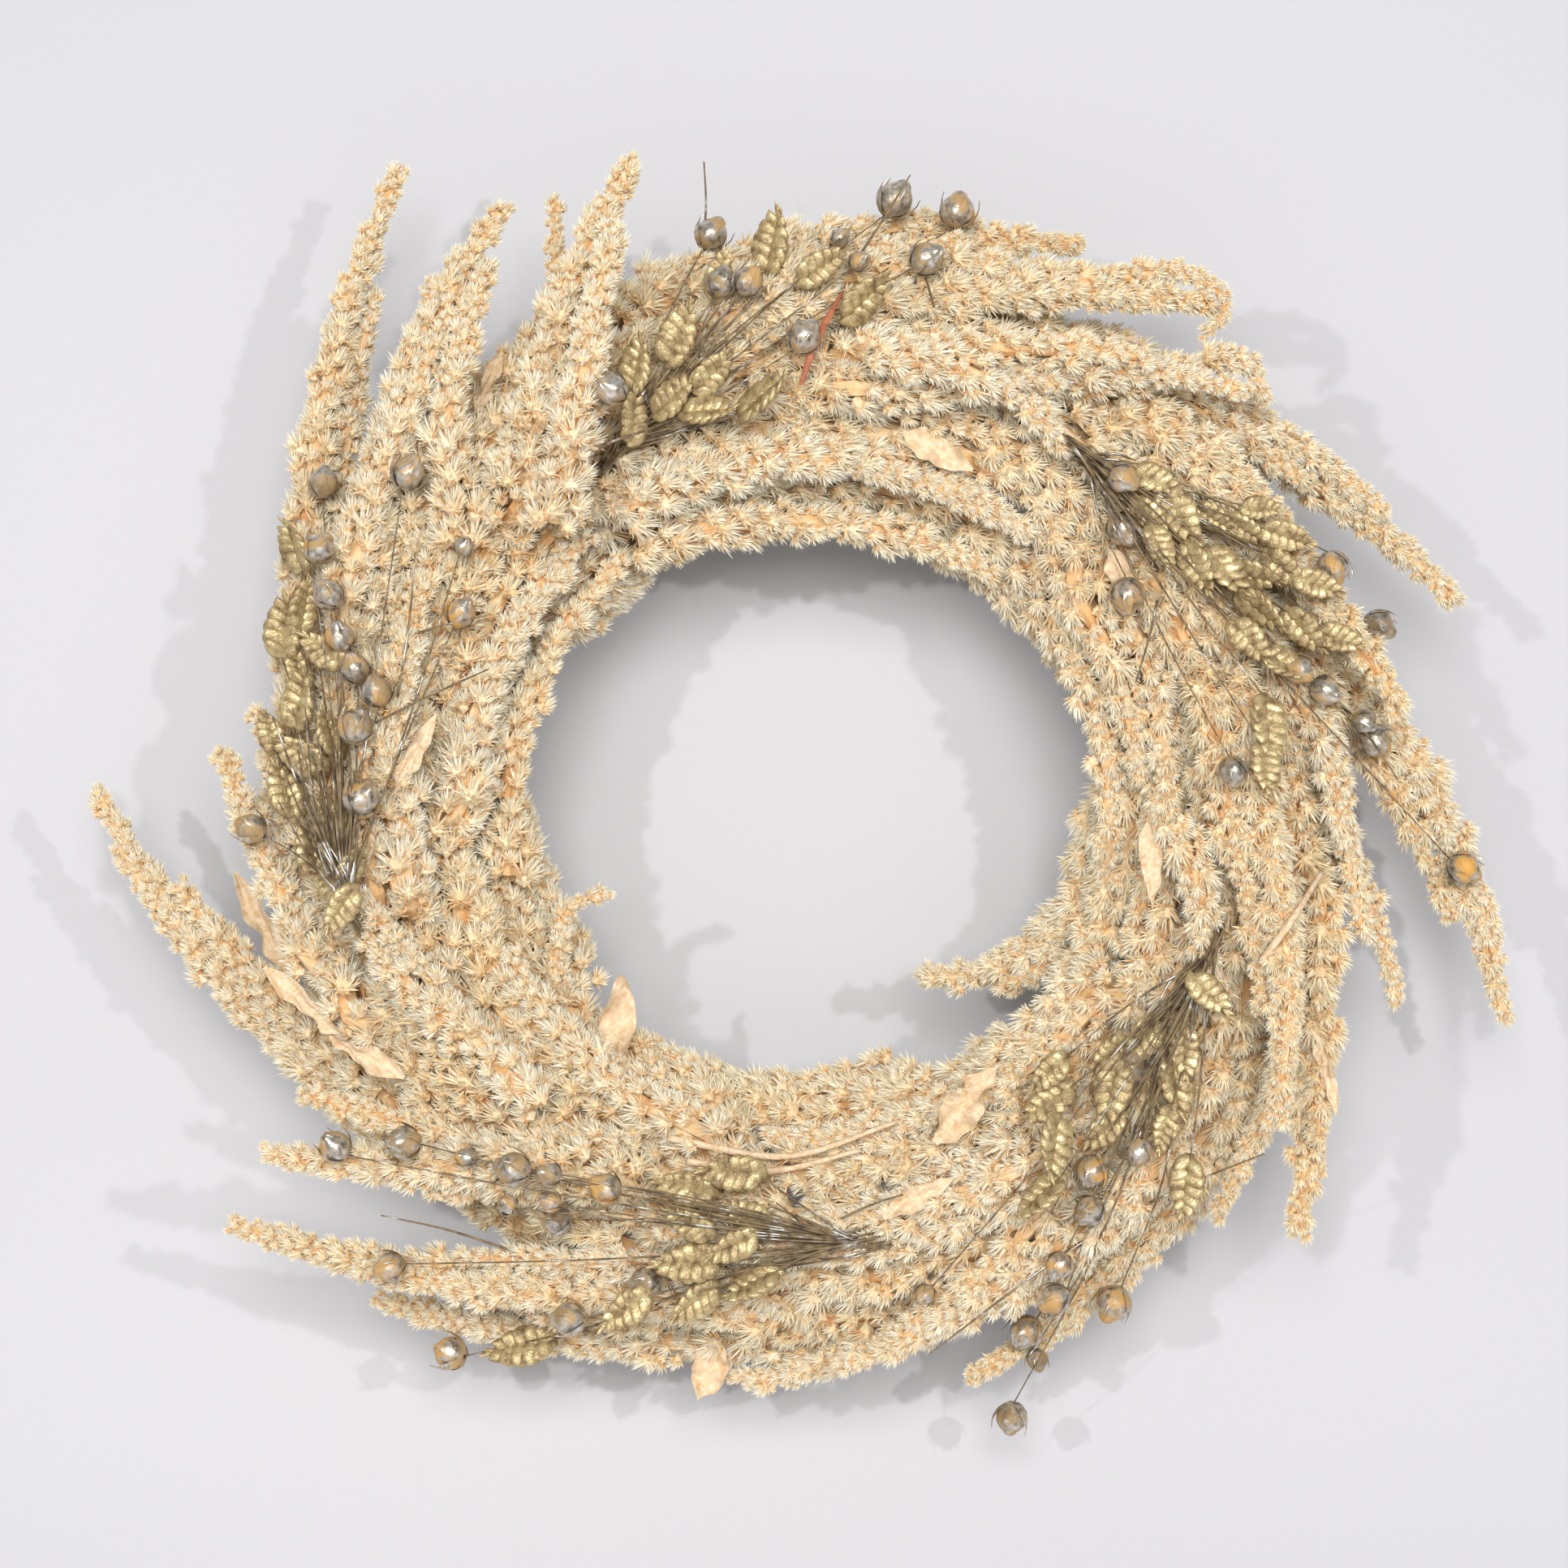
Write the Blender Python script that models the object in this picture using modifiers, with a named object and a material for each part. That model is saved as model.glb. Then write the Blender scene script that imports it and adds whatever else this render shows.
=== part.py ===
"""Harvest door wreath: dried plumes, gilded grass and silvered flax bound on a wire frame.

The wreath stands upright in the XZ plane. Its front faces -Y and its door side faces +Y.
The origin is the top of the outer back ring, where the wreath hangs. Clock angles start at
the top and run clockwise as seen from the front, which is the way that the plumes lie.
"""
import math
from collections import namedtuple

import bmesh
import bpy
from mathutils import Matrix, Vector

GAP = 0.0003                    # air between pieces that touch or are welded
DEGREE = math.pi / 180

# Wire frame
FRAME_OUTER_RADIUS = 0.124      # centre line of the outer front ring
FRAME_WIDTH = 0.031             # between the two front rings
FRAME_DEPTH = 0.012             # from the front rings to the back rings
BACK_RING_INSET = 0.009         # each back ring stands in from the front ring beside it
RING_WIRE = 0.0025              # wire diameters
BRACE_WIRE = 0.0020
BINDING_WIRE = 0.0009
LOOP_WIRE = 0.0016
BRACES = 10

# Hanging loop
LOOP_HALF_WIDTH = 0.011         # from the middle to each leg
LOOP_LENGTH = 0.034             # from the hinge to the far end
EYE_PLAY = 0.0012               # between an eye and the ring that it turns on
EYE_CLEARANCE = 0.00173         # between an eye and the binding turn inside the loop

# Plume sprays
SLOTS = 30                      # one spray is bound in each slot
SLOT_OFFSET = -8                # degrees from the top to the first slot
FRONT_PLUME_RADIUS = 0.011      # of the sprays in the three front lanes
INNER_PLUME_RADIUS = 0.0095
OUTER_PLUME_RADIUS = 0.0105
STEM_RADIUS = 0.0022
TIP_RADIUS = 0.0028
STEM_PASS = 0.0074              # room for a stem between the binding and the front lanes
EDGE_CLEARANCE = 0.0012         # between the binding and the edge lanes
CORNER_CLEARANCE = 0.0025       # between an edge lane and the front lane beside it

# Sprigs and leaves, which lie on the front of the plumes
POD_RADIUS = 0.004
SPIKELET = (0.018, 0.008, 0.005)
SPRIG_STEM_RADIUS = 0.0007
SPRIG_TIE_RADIUS = 0.0034
SPRIG_TIE_LENGTH = 0.012
SPRIG_CLEARANCE = 0.0012
SPRIG_FALL = 0.012              # how far a seed head may lie behind the sprig's tie
LEAF_THICKNESS = 0.0006

# Worked out from the sizes above
BACK_OUTER_RADIUS = FRAME_OUTER_RADIUS - BACK_RING_INSET
FRONT_INNER_RADIUS = FRAME_OUTER_RADIUS - FRAME_WIDTH
BACK_INNER_RADIUS = FRONT_INNER_RADIUS + BACK_RING_INSET
MIDDLE_RADIUS = FRAME_OUTER_RADIUS - FRAME_WIDTH / 2
BINDING_STANDOFF = (RING_WIRE + BINDING_WIRE) / 2 + GAP
BINDING_REACH = BINDING_STANDOFF + BINDING_WIRE / 2
BINDING_FRONT = -FRAME_DEPTH - BINDING_REACH
SLOT_ANGLE = 360 / SLOTS
EYE_RADIUS = (RING_WIRE + LOOP_WIRE) / 2 + EYE_PLAY
TURN_IN_LOOP = LOOP_HALF_WIDTH - (LOOP_WIRE + BINDING_WIRE) / 2 - EYE_CLEARANCE
TURN_IN_LOOP_CLOCK = math.asin(TURN_IN_LOOP / BACK_OUTER_RADIUS) / DEGREE
HINGE_HEIGHT = math.sqrt(BACK_OUTER_RADIUS ** 2 - LOOP_HALF_WIDTH ** 2)

Lane = namedtuple("Lane", "radius depth plume")
LANE_PITCH = 2 * FRONT_PLUME_RADIUS + GAP
SIDE_DEPTH = BINDING_FRONT - STEM_PASS - FRONT_PLUME_RADIUS
SIDE_STEP = LANE_PITCH * math.cos(30 * DEGREE)


def edge_lane(radius, neighbour_radius, plume):
    """A lane beside the frame, tucked under the front lane next to it."""
    reach = plume + FRONT_PLUME_RADIUS + CORNER_CLEARANCE
    across = min(abs(neighbour_radius - radius), reach)
    return Lane(radius, SIDE_DEPTH + math.sqrt(reach ** 2 - across ** 2), plume)


LANES = {
    "inner_edge": edge_lane(
        FRONT_INNER_RADIUS - BINDING_REACH - EDGE_CLEARANCE - INNER_PLUME_RADIUS,
        MIDDLE_RADIUS - SIDE_STEP, INNER_PLUME_RADIUS),
    "inner_front": Lane(MIDDLE_RADIUS - SIDE_STEP, SIDE_DEPTH, FRONT_PLUME_RADIUS),
    "middle": Lane(MIDDLE_RADIUS, SIDE_DEPTH - LANE_PITCH / 2, FRONT_PLUME_RADIUS),
    "outer_front": Lane(MIDDLE_RADIUS + SIDE_STEP, SIDE_DEPTH, FRONT_PLUME_RADIUS),
    "outer_edge": edge_lane(
        FRAME_OUTER_RADIUS + BINDING_REACH + EDGE_CLEARANCE + OUTER_PLUME_RADIUS,
        MIDDLE_RADIUS + SIDE_STEP, OUTER_PLUME_RADIUS),
}

# One spray for each slot in turn: its lane, the clock angle of its tip in degrees, and how far
# the tip strays out of the lane and towards the front, in millimetres.
SPRAYS = (
    ("middle", 47, 43, 4),
    ("inner_edge", 78, 0, 0),
    ("outer_edge", 73, 40, 4),
    ("outer_front", 81, 27, 0),
    ("inner_front", 116, 0, 0),
    ("outer_edge", 108, 54, 0),
    ("middle", 125, 33, 9),
    ("inner_edge", 149, -26, 0),
    ("outer_front", 132, 41, 0),
    ("outer_edge", 165, 19, 2),
    ("inner_front", 188, 0, 0),
    ("outer_front", 177, 20, 0),
    ("middle", 200, 6, 2),
    ("inner_edge", 224, 0, 0),
    ("outer_edge", 221, 37, 0),
    ("outer_front", 234, 58, -2),
    ("inner_front", 260, 0, 0),
    ("middle", 237, 56, 8),
    ("outer_edge", 271, 50, 0),
    ("inner_edge", 296, 0, 0),
    ("outer_front", 275, 24, 0),
    ("middle", 300, 6, 2),
    ("inner_front", 320, 0, 0),
    ("outer_edge", 327, 60, 0),
    ("outer_front", 333, 43, 0),
    ("inner_edge", 368, 0, 0),
    ("middle", 345, 58, 8),
    ("inner_front", 400, 0, 0),
    ("outer_edge", 386, 26, 2),
    ("outer_front", 399, 38, 0),
)

# Sprigs: where each is tied, then its grass spikelets and its flax pods. Every place is a clock
# angle in degrees and a distance out from the middle lane in millimetres.
Sprig = namedtuple("Sprig", "tie grass pods")
SPRIGS = (
    Sprig((332, -7), ((356, 34), (344, 13), (338, 9), (6, 18), (353, -7)),
          ((350, 41), (350, 24), (8, 49), (14, 49), (12, 31), (359, 7))),
    Sprig((36, 2), ((52, 8), (59, 4), (63, 16), (71, 23), (81, 6)),
          ((49, -5), (57, -14), (66, 36), (84, 38), (86, -4), (96, 62))),
    Sprig((112, -3), ((128, 8), (134, -4), (142, -12), (150, 5), (136, 27)),
          ((130, -4), (146, 16), (158, 41), (149, 44), (162, 62), (167, 20))),
    Sprig((174, 2), ((187, 13), (192, -13), (198, -6), (195, 11), (200, 28)),
          ((234, 37), (230, 23), (219, 8), (208, 0), (205, 36), (213, 64))),
    Sprig((258, 9), ((296, 40), (288, 34), (281, 24), (275, 21), (265, 19)),
          ((309, 22), (303, 42), (297, 31), (298, -9), (284, 3), (267, 33))),
)

# Leaves: clock angle, distance out from the middle lane (mm), turn in the wreath's plane
# (degrees), length and width (mm).
LEAVES = ((20, -15, 60, 22, 9), (256, 38, 150, 38, 9), (153, -22, 60, 26, 11),
          (220, -31, 10, 30, 9))


def polar(clock, radius, depth=0.0):
    """A point at a clock angle in degrees, measured from the wreath's centre."""
    return Vector((radius * math.sin(clock * DEGREE), depth, radius * math.cos(clock * DEGREE)))


def smooth(value):
    """An even ease from 0 to 1."""
    value = min(max(value, 0.0), 1.0)
    return value * value * (3 - 2 * value)


def blend(start, end, share):
    return start + (end - start) * share


def clear_scene():
    for old in list(bpy.data.objects):
        bpy.data.objects.remove(old, do_unlink=True)


def material(name, colour, roughness, metallic=0.0):
    made = bpy.data.materials.new(name)
    made.use_nodes = True
    shader = made.node_tree.nodes["Principled BSDF"]
    shader.inputs["Base Color"].default_value = (*colour, 1.0)
    shader.inputs["Roughness"].default_value = roughness
    shader.inputs["Metallic"].default_value = metallic
    made.diffuse_color = (*colour, 1.0)
    return made


class Wreath:
    """The collection, the empties and the materials that every piece shares."""

    def __init__(self):
        self.collection = bpy.data.collections.new("harvest_door_wreath")
        self.cutters = bpy.data.collections.new("cutters")
        for collection in (self.collection, self.cutters):
            bpy.context.scene.collection.children.link(collection)
        self.centre = self.empty("wreath_centre", Vector((0, 0, -BACK_OUTER_RADIUS)))
        self.materials = {
            "frame": material("frame_wire", (0.05, 0.09, 0.05), 0.45, 0.6),
            "binding": material("binding_wire", (0.08, 0.13, 0.07), 0.4, 0.7),
            "loop": material("hanging_loop_wire", (0.55, 0.55, 0.53), 0.3, 1.0),
            "plume": material("amaranth", (0.86, 0.64, 0.42), 0.85),
            "grass": material("gilded_grass", (0.42, 0.33, 0.13), 0.4, 0.5),
            "flax": material("silvered_flax", (0.50, 0.48, 0.43), 0.35, 0.6),
            "leaf": material("dried_leaf", (0.80, 0.62, 0.42), 0.7),
        }

    def empty(self, name, place):
        made = bpy.data.objects.new(name, None)
        made.location = place
        self.collection.objects.link(made)
        return made

    def add(self, name, data, finish, parent=None):
        made = bpy.data.objects.new(name, data)
        data.materials.append(self.materials[finish])
        made.parent = parent or self.centre
        self.collection.objects.link(made)
        return made

    def tube(self, name, points, radius, finish, closed=False, sides=6, radii=None, parent=None):
        data = tube_curve(name, points, radius, closed, sides, radii)
        return self.add(name, data, finish, parent)


def tube_curve(name, points, radius, closed=False, sides=6, radii=None):
    """A round tube along straight steps, with its ends closed unless it is a ring."""
    data = bpy.data.curves.new(name, "CURVE")
    data.dimensions = "3D"
    data.bevel_depth = radius
    data.bevel_resolution = (sides - 4) // 2
    data.use_fill_caps = not closed
    spline = data.splines.new("POLY")
    spline.points.add(len(points) - 1)
    spline.use_cyclic_u = closed
    spline.use_smooth = True
    for index, place in enumerate(points):
        spline.points[index].co = (*place, 1.0)
        spline.points[index].radius = radii[index] / radius if radii else 1.0
    return data


# ---------------------------------------------------------------- wire frame

def make_frame_rings(wreath):
    rings = (
        ("frame_ring_outer_front", FRAME_OUTER_RADIUS, -FRAME_DEPTH),
        ("frame_ring_inner_front", FRONT_INNER_RADIUS, -FRAME_DEPTH),
        ("frame_ring_outer_back", BACK_OUTER_RADIUS, 0.0),
        ("frame_ring_inner_back", BACK_INNER_RADIUS, 0.0),
    )
    segments = 2 * SLOTS
    for name, radius, depth in rings:
        points = [polar(SLOT_OFFSET + 360 * step / segments, radius, depth)
                  for step in range(segments)]
        wreath.tube(name, points, RING_WIRE / 2, "frame", closed=True)


def brace_points(clock):
    """A bent wire that passes outside all four rings, open at the front."""
    stand = (RING_WIRE + BRACE_WIRE) / 2 + GAP
    lip = RING_WIRE
    section = (
        (FRAME_OUTER_RADIUS + stand, -FRAME_DEPTH - lip),
        (FRAME_OUTER_RADIUS + stand, -FRAME_DEPTH + lip),
        (BACK_OUTER_RADIUS + stand * 1.3, 0.2 * stand),
        (BACK_OUTER_RADIUS + stand * 0.5, stand),
        (BACK_INNER_RADIUS - stand * 0.5, stand),
        (BACK_INNER_RADIUS - stand * 1.3, 0.2 * stand),
        (FRONT_INNER_RADIUS - stand, -FRAME_DEPTH + lip),
        (FRONT_INNER_RADIUS - stand, -FRAME_DEPTH - lip),
    )
    return [polar(clock, radius, depth) for radius, depth in section]


def make_frame_braces(wreath):
    """Braces stand midway between two turns of the binding, clear of the hanging loop."""
    first = SLOT_OFFSET + SLOT_ANGLE * 2.5
    for index in range(BRACES):
        clock = first + 360 * index / BRACES
        wreath.tube(f"frame_brace_{index + 1}", brace_points(clock), BRACE_WIRE / 2, "frame")


def binding_points():
    """One turn in each slot: flat round the back, and slanting across the front to the next."""
    stand = BINDING_STANDOFF
    lean = 0.75 * stand
    turn = (
        (FRONT_INNER_RADIUS - stand, -FRAME_DEPTH - stand, 0.0),
        (FRONT_INNER_RADIUS - stand, -FRAME_DEPTH + lean, 0.0),
        (BACK_INNER_RADIUS - lean, lean, 0.0),
        (BACK_INNER_RADIUS, stand, 0.0),
        (BACK_OUTER_RADIUS, stand, 0.0),
        (BACK_OUTER_RADIUS + lean, lean, 0.0),
        (FRAME_OUTER_RADIUS + stand, -FRAME_DEPTH + lean, 0.0),
        (FRAME_OUTER_RADIUS + stand, -FRAME_DEPTH - stand, 0.0),
        (MIDDLE_RADIUS, -FRAME_DEPTH - stand, 0.5),
    )
    points = []
    for slot in range(SLOTS):
        clock = TURN_IN_LOOP_CLOCK if slot == 1 else SLOT_OFFSET + SLOT_ANGLE * slot
        for radius, depth, advance in turn:
            points.append(polar(clock + SLOT_ANGLE * advance, radius, depth))
    return points[:-1]


def make_binding(wreath):
    wreath.tube("binding_wire", binding_points(), BINDING_WIRE / 2, "binding", sides=4)


# ---------------------------------------------------------------- hanging loop

def loop_side(side):
    """One eye, and the leg that leaves it on the door side, from the eye's free end down."""
    steps = 9
    turn = 280
    points = []
    for step in range(steps + 1):
        angle = turn * (1 - step / steps) * DEGREE
        points.append(Vector((side * LOOP_HALF_WIDTH, EYE_RADIUS * math.cos(angle),
                              EYE_RADIUS * math.sin(angle))))
    return points


def loop_points():
    """An eye, a leg, the round end, a leg and an eye, hanging down from the hinge."""
    straight = LOOP_LENGTH - LOOP_HALF_WIDTH
    end_centre = Vector((0, EYE_RADIUS, -straight))
    steps = 8
    end = [end_centre + polar(270 - 180 * step / steps, LOOP_HALF_WIDTH) for step in range(steps + 1)]
    return loop_side(-1) + end + loop_side(1)[::-1]


def loop_rest_tilt():
    """How far the loop leans in from straight down before its legs rest on the inner back ring."""
    spare = EYE_RADIUS - (RING_WIRE + LOOP_WIRE) / 2 - GAP
    return -math.atan(spare / (HINGE_HEIGHT - BACK_INNER_RADIUS))


def make_hanging_loop(wreath):
    """The eyes turn on the outer back ring, a little below its top because the ring curves."""
    hinge = wreath.empty("hanging_loop_hinge", Vector((0, 0, HINGE_HEIGHT - BACK_OUTER_RADIUS)))
    hinge.rotation_euler.x = loop_rest_tilt()
    wreath.tube("hanging_loop", loop_points(), LOOP_WIRE / 2, "loop", sides=8, parent=hinge)


# ---------------------------------------------------------------- plume sprays

def spray_path(slot):
    """Points and radii of one spray: bound stem, rise to its lane, plume, straying tip."""
    lane_name, tip_clock, stray, forward = SPRAYS[slot]
    lane = LANES[lane_name]
    root = SLOT_OFFSET + SLOT_ANGLE * slot
    trough = -RING_WIRE / 2 - STEM_RADIUS - 3 * GAP
    pass_depth = BINDING_FRONT - 0.0015 - STEM_RADIUS
    edge = lane_name.endswith("edge")
    side = 1 if lane.radius > MIDDLE_RADIUS else -1
    corner = MIDDLE_RADIUS + side * (FRAME_WIDTH / 2 + BINDING_STANDOFF)
    path = [
        (root - 8, MIDDLE_RADIUS, trough, STEM_RADIUS),
        (root - 1, MIDDLE_RADIUS, trough, STEM_RADIUS),
        (root + 4, MIDDLE_RADIUS, pass_depth, STEM_RADIUS),
    ]
    if edge:
        path.append((root + 8.5, corner - side * 0.002, pass_depth, STEM_RADIUS))
        path.append((root + 12, corner + side * 0.006, pass_depth + 0.0012, 0.3 * lane.plume))
    else:
        path.append((root + 8, blend(MIDDLE_RADIUS, lane.radius, 0.45),
                     blend(pass_depth, lane.depth, 0.4), 0.32 * lane.plume))
    full = root + (16 if edge else 13)
    leave = max(full, tip_clock - 40)
    steps = 7
    for step in range(steps + 1):
        share = step / steps
        clock = blend(full, tip_clock, share)
        away = max(0.0, (clock - leave) / (tip_clock - leave)) ** 1.5
        body = (1 - share ** 2.4) * smooth(0.62 + 2.4 * share)
        path.append((clock, lane.radius + stray * 0.001 * away,
                     lane.depth - forward * 0.001 * min(1.0, 1.8 * away),
                     blend(TIP_RADIUS, lane.plume, body)))
    points = [polar(clock, radius, depth) for clock, radius, depth, _ in path]
    return points, [row[3] for row in path]


def make_sprays(wreath):
    for slot, row in enumerate(SPRAYS):
        points, radii = spray_path(slot)
        name = f"amaranth_{row[0]}_{slot + 1:02d}"
        wreath.tube(name, points, LANES[row[0]].plume, "plume", sides=8, radii=radii)


# ---------------------------------------------------------------- sprigs and leaves

def plume_spheres():
    """Places and radii all along the plumes, which the sprigs and leaves rest on."""
    spheres = []
    for slot in range(SLOTS):
        points, radii = spray_path(slot)
        for index in range(1, len(points) - 1):
            for share in (0.0, 0.25, 0.5, 0.75):
                spheres.append((points[index].lerp(points[index + 1], share),
                                blend(radii[index], radii[index + 1], share)))
    return spheres


def rest_depth(spheres, place, reach):
    """The depth at which a ball of radius reach just rests on the front of the plumes."""
    depth = -FRAME_DEPTH
    for centre, radius in spheres:
        apart = (radius + reach) ** 2 - (place.x - centre.x) ** 2 - (place.z - centre.z) ** 2
        if apart > 0:
            depth = min(depth, centre.y - math.sqrt(apart))
    return depth


def lie_on(spheres, place, along, half, reach):
    """Moves a place to the depth at which a piece of this half length and reach lies on them."""
    depths = [rest_depth(spheres, place + along * half * share, reach + SPRIG_CLEARANCE)
              for share in (-1, -0.5, 0, 0.5, 1)]
    return Vector((place.x, min(depths), place.z))


def stem_points(spheres, start, end):
    """A stem that stays in front of everything on its way to its seed head's middle."""
    steps = 3
    samples = 5
    points = [start]
    for step in range(1, steps + 1):
        place = start.lerp(end, step / steps)
        for sample in range(-samples, samples + 1):
            near = start.lerp(end, (step + sample / samples) / steps)
            place.y = min(place.y, rest_depth(spheres, near, SPRIG_STEM_RADIUS + SPRIG_CLEARANCE))
        points.append(place)
    return points


def tube_mesh(name, points, radius, sides):
    """A closed tube as a mesh, ready to be joined with others."""
    data = tube_curve(name, points, radius, sides=sides)
    carrier = bpy.data.objects.new(name, data)
    bpy.context.scene.collection.objects.link(carrier)
    bpy.context.view_layer.update()
    graph = bpy.context.evaluated_depsgraph_get()
    mesh = bpy.data.meshes.new_from_object(carrier.evaluated_get(graph))
    bpy.data.objects.remove(carrier, do_unlink=True)
    return mesh


def add_mesh(work, mesh):
    work.from_mesh(mesh)
    bpy.data.meshes.remove(mesh)


def add_ball(work, place, direction, size, rounds):
    """A ball stretched to size along, across and through, pointing along direction."""
    across = direction.cross(Vector((0, 1, 0))).normalized()
    through = direction.cross(across).normalized()
    turn = Matrix((direction, across, through)).transposed().to_4x4()
    stretch = Matrix.Diagonal((size[0] / 2, size[1] / 2, size[2] / 2, 1.0))
    bmesh.ops.create_uvsphere(work, u_segments=6, v_segments=rounds, radius=1.0,
                              matrix=Matrix.Translation(place) @ turn @ stretch)


def joined(wreath, name, body, parts, finish):
    """One solid from a tie and everything that grows out of it."""
    made = wreath.add(name, body, finish)
    cutter = bpy.data.objects.new(name + "_parts", parts)
    cutter.hide_render = True
    cutter.display_type = "WIRE"
    cutter.parent = wreath.centre
    wreath.cutters.objects.link(cutter)
    union = made.modifiers.new("union", "BOOLEAN")
    union.operation = "UNION"
    union.solver = "EXACT"
    union.use_self = True
    union.object = cutter
    return made


def seed_head(finish):
    """Length, width and thickness of one spikelet or pod."""
    return (2 * POD_RADIUS,) * 3 if finish == "flax" else SPIKELET


def make_sprig(wreath, spheres, name, tie, heads, finish):
    """A bunch of stems tied together at one end, each with a seed head at the other."""
    length, width, thickness = seed_head(finish)
    places = [polar(clock, MIDDLE_RADIUS + out * 0.001) for clock, out in heads]
    start = polar(tie[0], MIDDLE_RADIUS + tie[1] * 0.001)
    along = (sum(places, Vector()) / len(places) - start).normalized()
    start = lie_on(spheres, start, along, SPRIG_TIE_LENGTH, SPRIG_TIE_RADIUS)
    tie_points = [start - along * SPRIG_TIE_LENGTH / 2, start + along * SPRIG_TIE_LENGTH / 2]
    body = tube_mesh(name + "_tie", tie_points, SPRIG_TIE_RADIUS, 8)
    work = bmesh.new()
    added = [(point, SPRIG_TIE_RADIUS) for point in (tie_points[0], start, tie_points[1])]
    for place in places:
        direction = (place - Vector((start.x, 0, start.z))).normalized()
        end = lie_on(spheres, place, direction, length / 2, width / 2)
        end.y = min(end.y, start.y + SPRIG_FALL)
        points = stem_points(spheres, start, end)
        end = points[-1]
        add_mesh(work, tube_mesh(name + "_stem", points, SPRIG_STEM_RADIUS, 4))
        add_ball(work, end, direction, (length, width, thickness), 4)
        for near, far in zip(points, points[1:]):
            added += [(near.lerp(far, step / 6), SPRIG_STEM_RADIUS) for step in range(7)]
        added += [(end + direction * length * share, width / 2) for share in (-0.3, -0.1, 0.1, 0.3)]
    bmesh.ops.remove_doubles(work, verts=work.verts, dist=0.000001)
    parts = bpy.data.meshes.new(name + "_parts")
    work.to_mesh(parts)
    work.free()
    joined(wreath, name, body, parts, finish)
    return added


def make_sprigs(wreath, spheres):
    """Each sprig has its grass on the plumes, and its flax on the grass and the plumes."""
    for index, sprig in enumerate(SPRIGS):
        spheres += make_sprig(wreath, spheres, f"quaking_grass_spray_{index + 1}", sprig.tie,
                              sprig.grass, "grass")
        spheres += make_sprig(wreath, spheres, f"flax_spray_{index + 1}", sprig.tie,
                              sprig.pods, "flax")


def leaf_mesh(name, length, width):
    """A pointed leaf along +X, folded a little along its rib and curled up at its end."""
    work = bmesh.new()
    rows = 7
    lines = []
    for row in range(rows):
        share = row / (rows - 1)
        half = width / 2 * math.sin(math.pi * min(max(share, 0.06), 0.95)) ** 0.8
        lift = 0.25 * length * (share - 0.3) ** 2
        lines.append([work.verts.new((length * (share - 0.5), half * side, lift + fold))
                      for side, fold in ((-1, 0.2 * half), (0, 0.0), (1, 0.2 * half))])
    for near, far in zip(lines, lines[1:]):
        for column in (0, 1):
            work.faces.new((near[column], far[column], far[column + 1], near[column + 1]))
    mesh = bpy.data.meshes.new(name)
    work.to_mesh(mesh)
    work.free()
    return mesh


def make_leaves(wreath, spheres):
    for index, (clock, out, turn, length, width) in enumerate(LEAVES):
        name = f"dried_leaf_{index + 1}"
        leaf = wreath.add(name, leaf_mesh(name, length * 0.001, width * 0.001), "leaf")
        place = polar(clock, MIDDLE_RADIUS + out * 0.001)
        along = polar(turn, 1.0)
        leaf.location = lie_on(spheres, place, along, length * 0.0005, width * 0.0005)
        leaf.rotation_euler = (90 * DEGREE, (turn - 90) * DEGREE, 0)
        shell = leaf.modifiers.new("thickness", "SOLIDIFY")
        shell.thickness = LEAF_THICKNESS
        shell.offset = 1.0
        leaf.data.shade_smooth()


def main():
    clear_scene()
    wreath = Wreath()
    make_frame_rings(wreath)
    make_frame_braces(wreath)
    make_binding(wreath)
    make_hanging_loop(wreath)
    make_sprays(wreath)
    spheres = plume_spheres()
    make_sprigs(wreath, spheres)
    make_leaves(wreath, spheres)
    bpy.context.view_layer.update()


main()
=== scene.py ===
"""Looks of the harvest door wreath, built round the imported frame.

Front faces -Y and the wreath hangs in the XZ plane. Clock angles start at the top and run
clockwise as seen from the front. Sizes are in metres unless a name says otherwise.
"""
import math

import bmesh
import bpy
import numpy as np
from mathutils import Matrix, Vector


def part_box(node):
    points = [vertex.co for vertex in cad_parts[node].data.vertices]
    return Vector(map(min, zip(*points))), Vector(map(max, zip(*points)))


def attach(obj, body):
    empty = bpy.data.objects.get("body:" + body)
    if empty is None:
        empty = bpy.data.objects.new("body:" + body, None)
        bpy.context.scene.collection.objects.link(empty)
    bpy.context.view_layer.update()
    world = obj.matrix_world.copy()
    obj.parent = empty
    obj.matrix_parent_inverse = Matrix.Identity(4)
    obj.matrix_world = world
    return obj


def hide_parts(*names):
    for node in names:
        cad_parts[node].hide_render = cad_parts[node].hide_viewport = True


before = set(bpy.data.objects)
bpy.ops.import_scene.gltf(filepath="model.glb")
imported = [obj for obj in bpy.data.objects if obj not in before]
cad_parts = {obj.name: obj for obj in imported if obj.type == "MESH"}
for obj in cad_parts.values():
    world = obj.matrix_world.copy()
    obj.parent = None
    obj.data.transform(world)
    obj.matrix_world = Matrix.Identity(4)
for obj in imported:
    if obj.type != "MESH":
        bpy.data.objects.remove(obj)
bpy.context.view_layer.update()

MM = 0.001
DEGREE = math.pi / 180
GOLDEN_ANGLE = math.pi * (3 - math.sqrt(5))

# ------ what the frame says

def wire_ring(name):
    """The middle and the outer radius of one of the frame's rings."""
    low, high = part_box("frame_ring_" + name)
    return (low + high) / 2, (high.x - low.x) / 2


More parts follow.
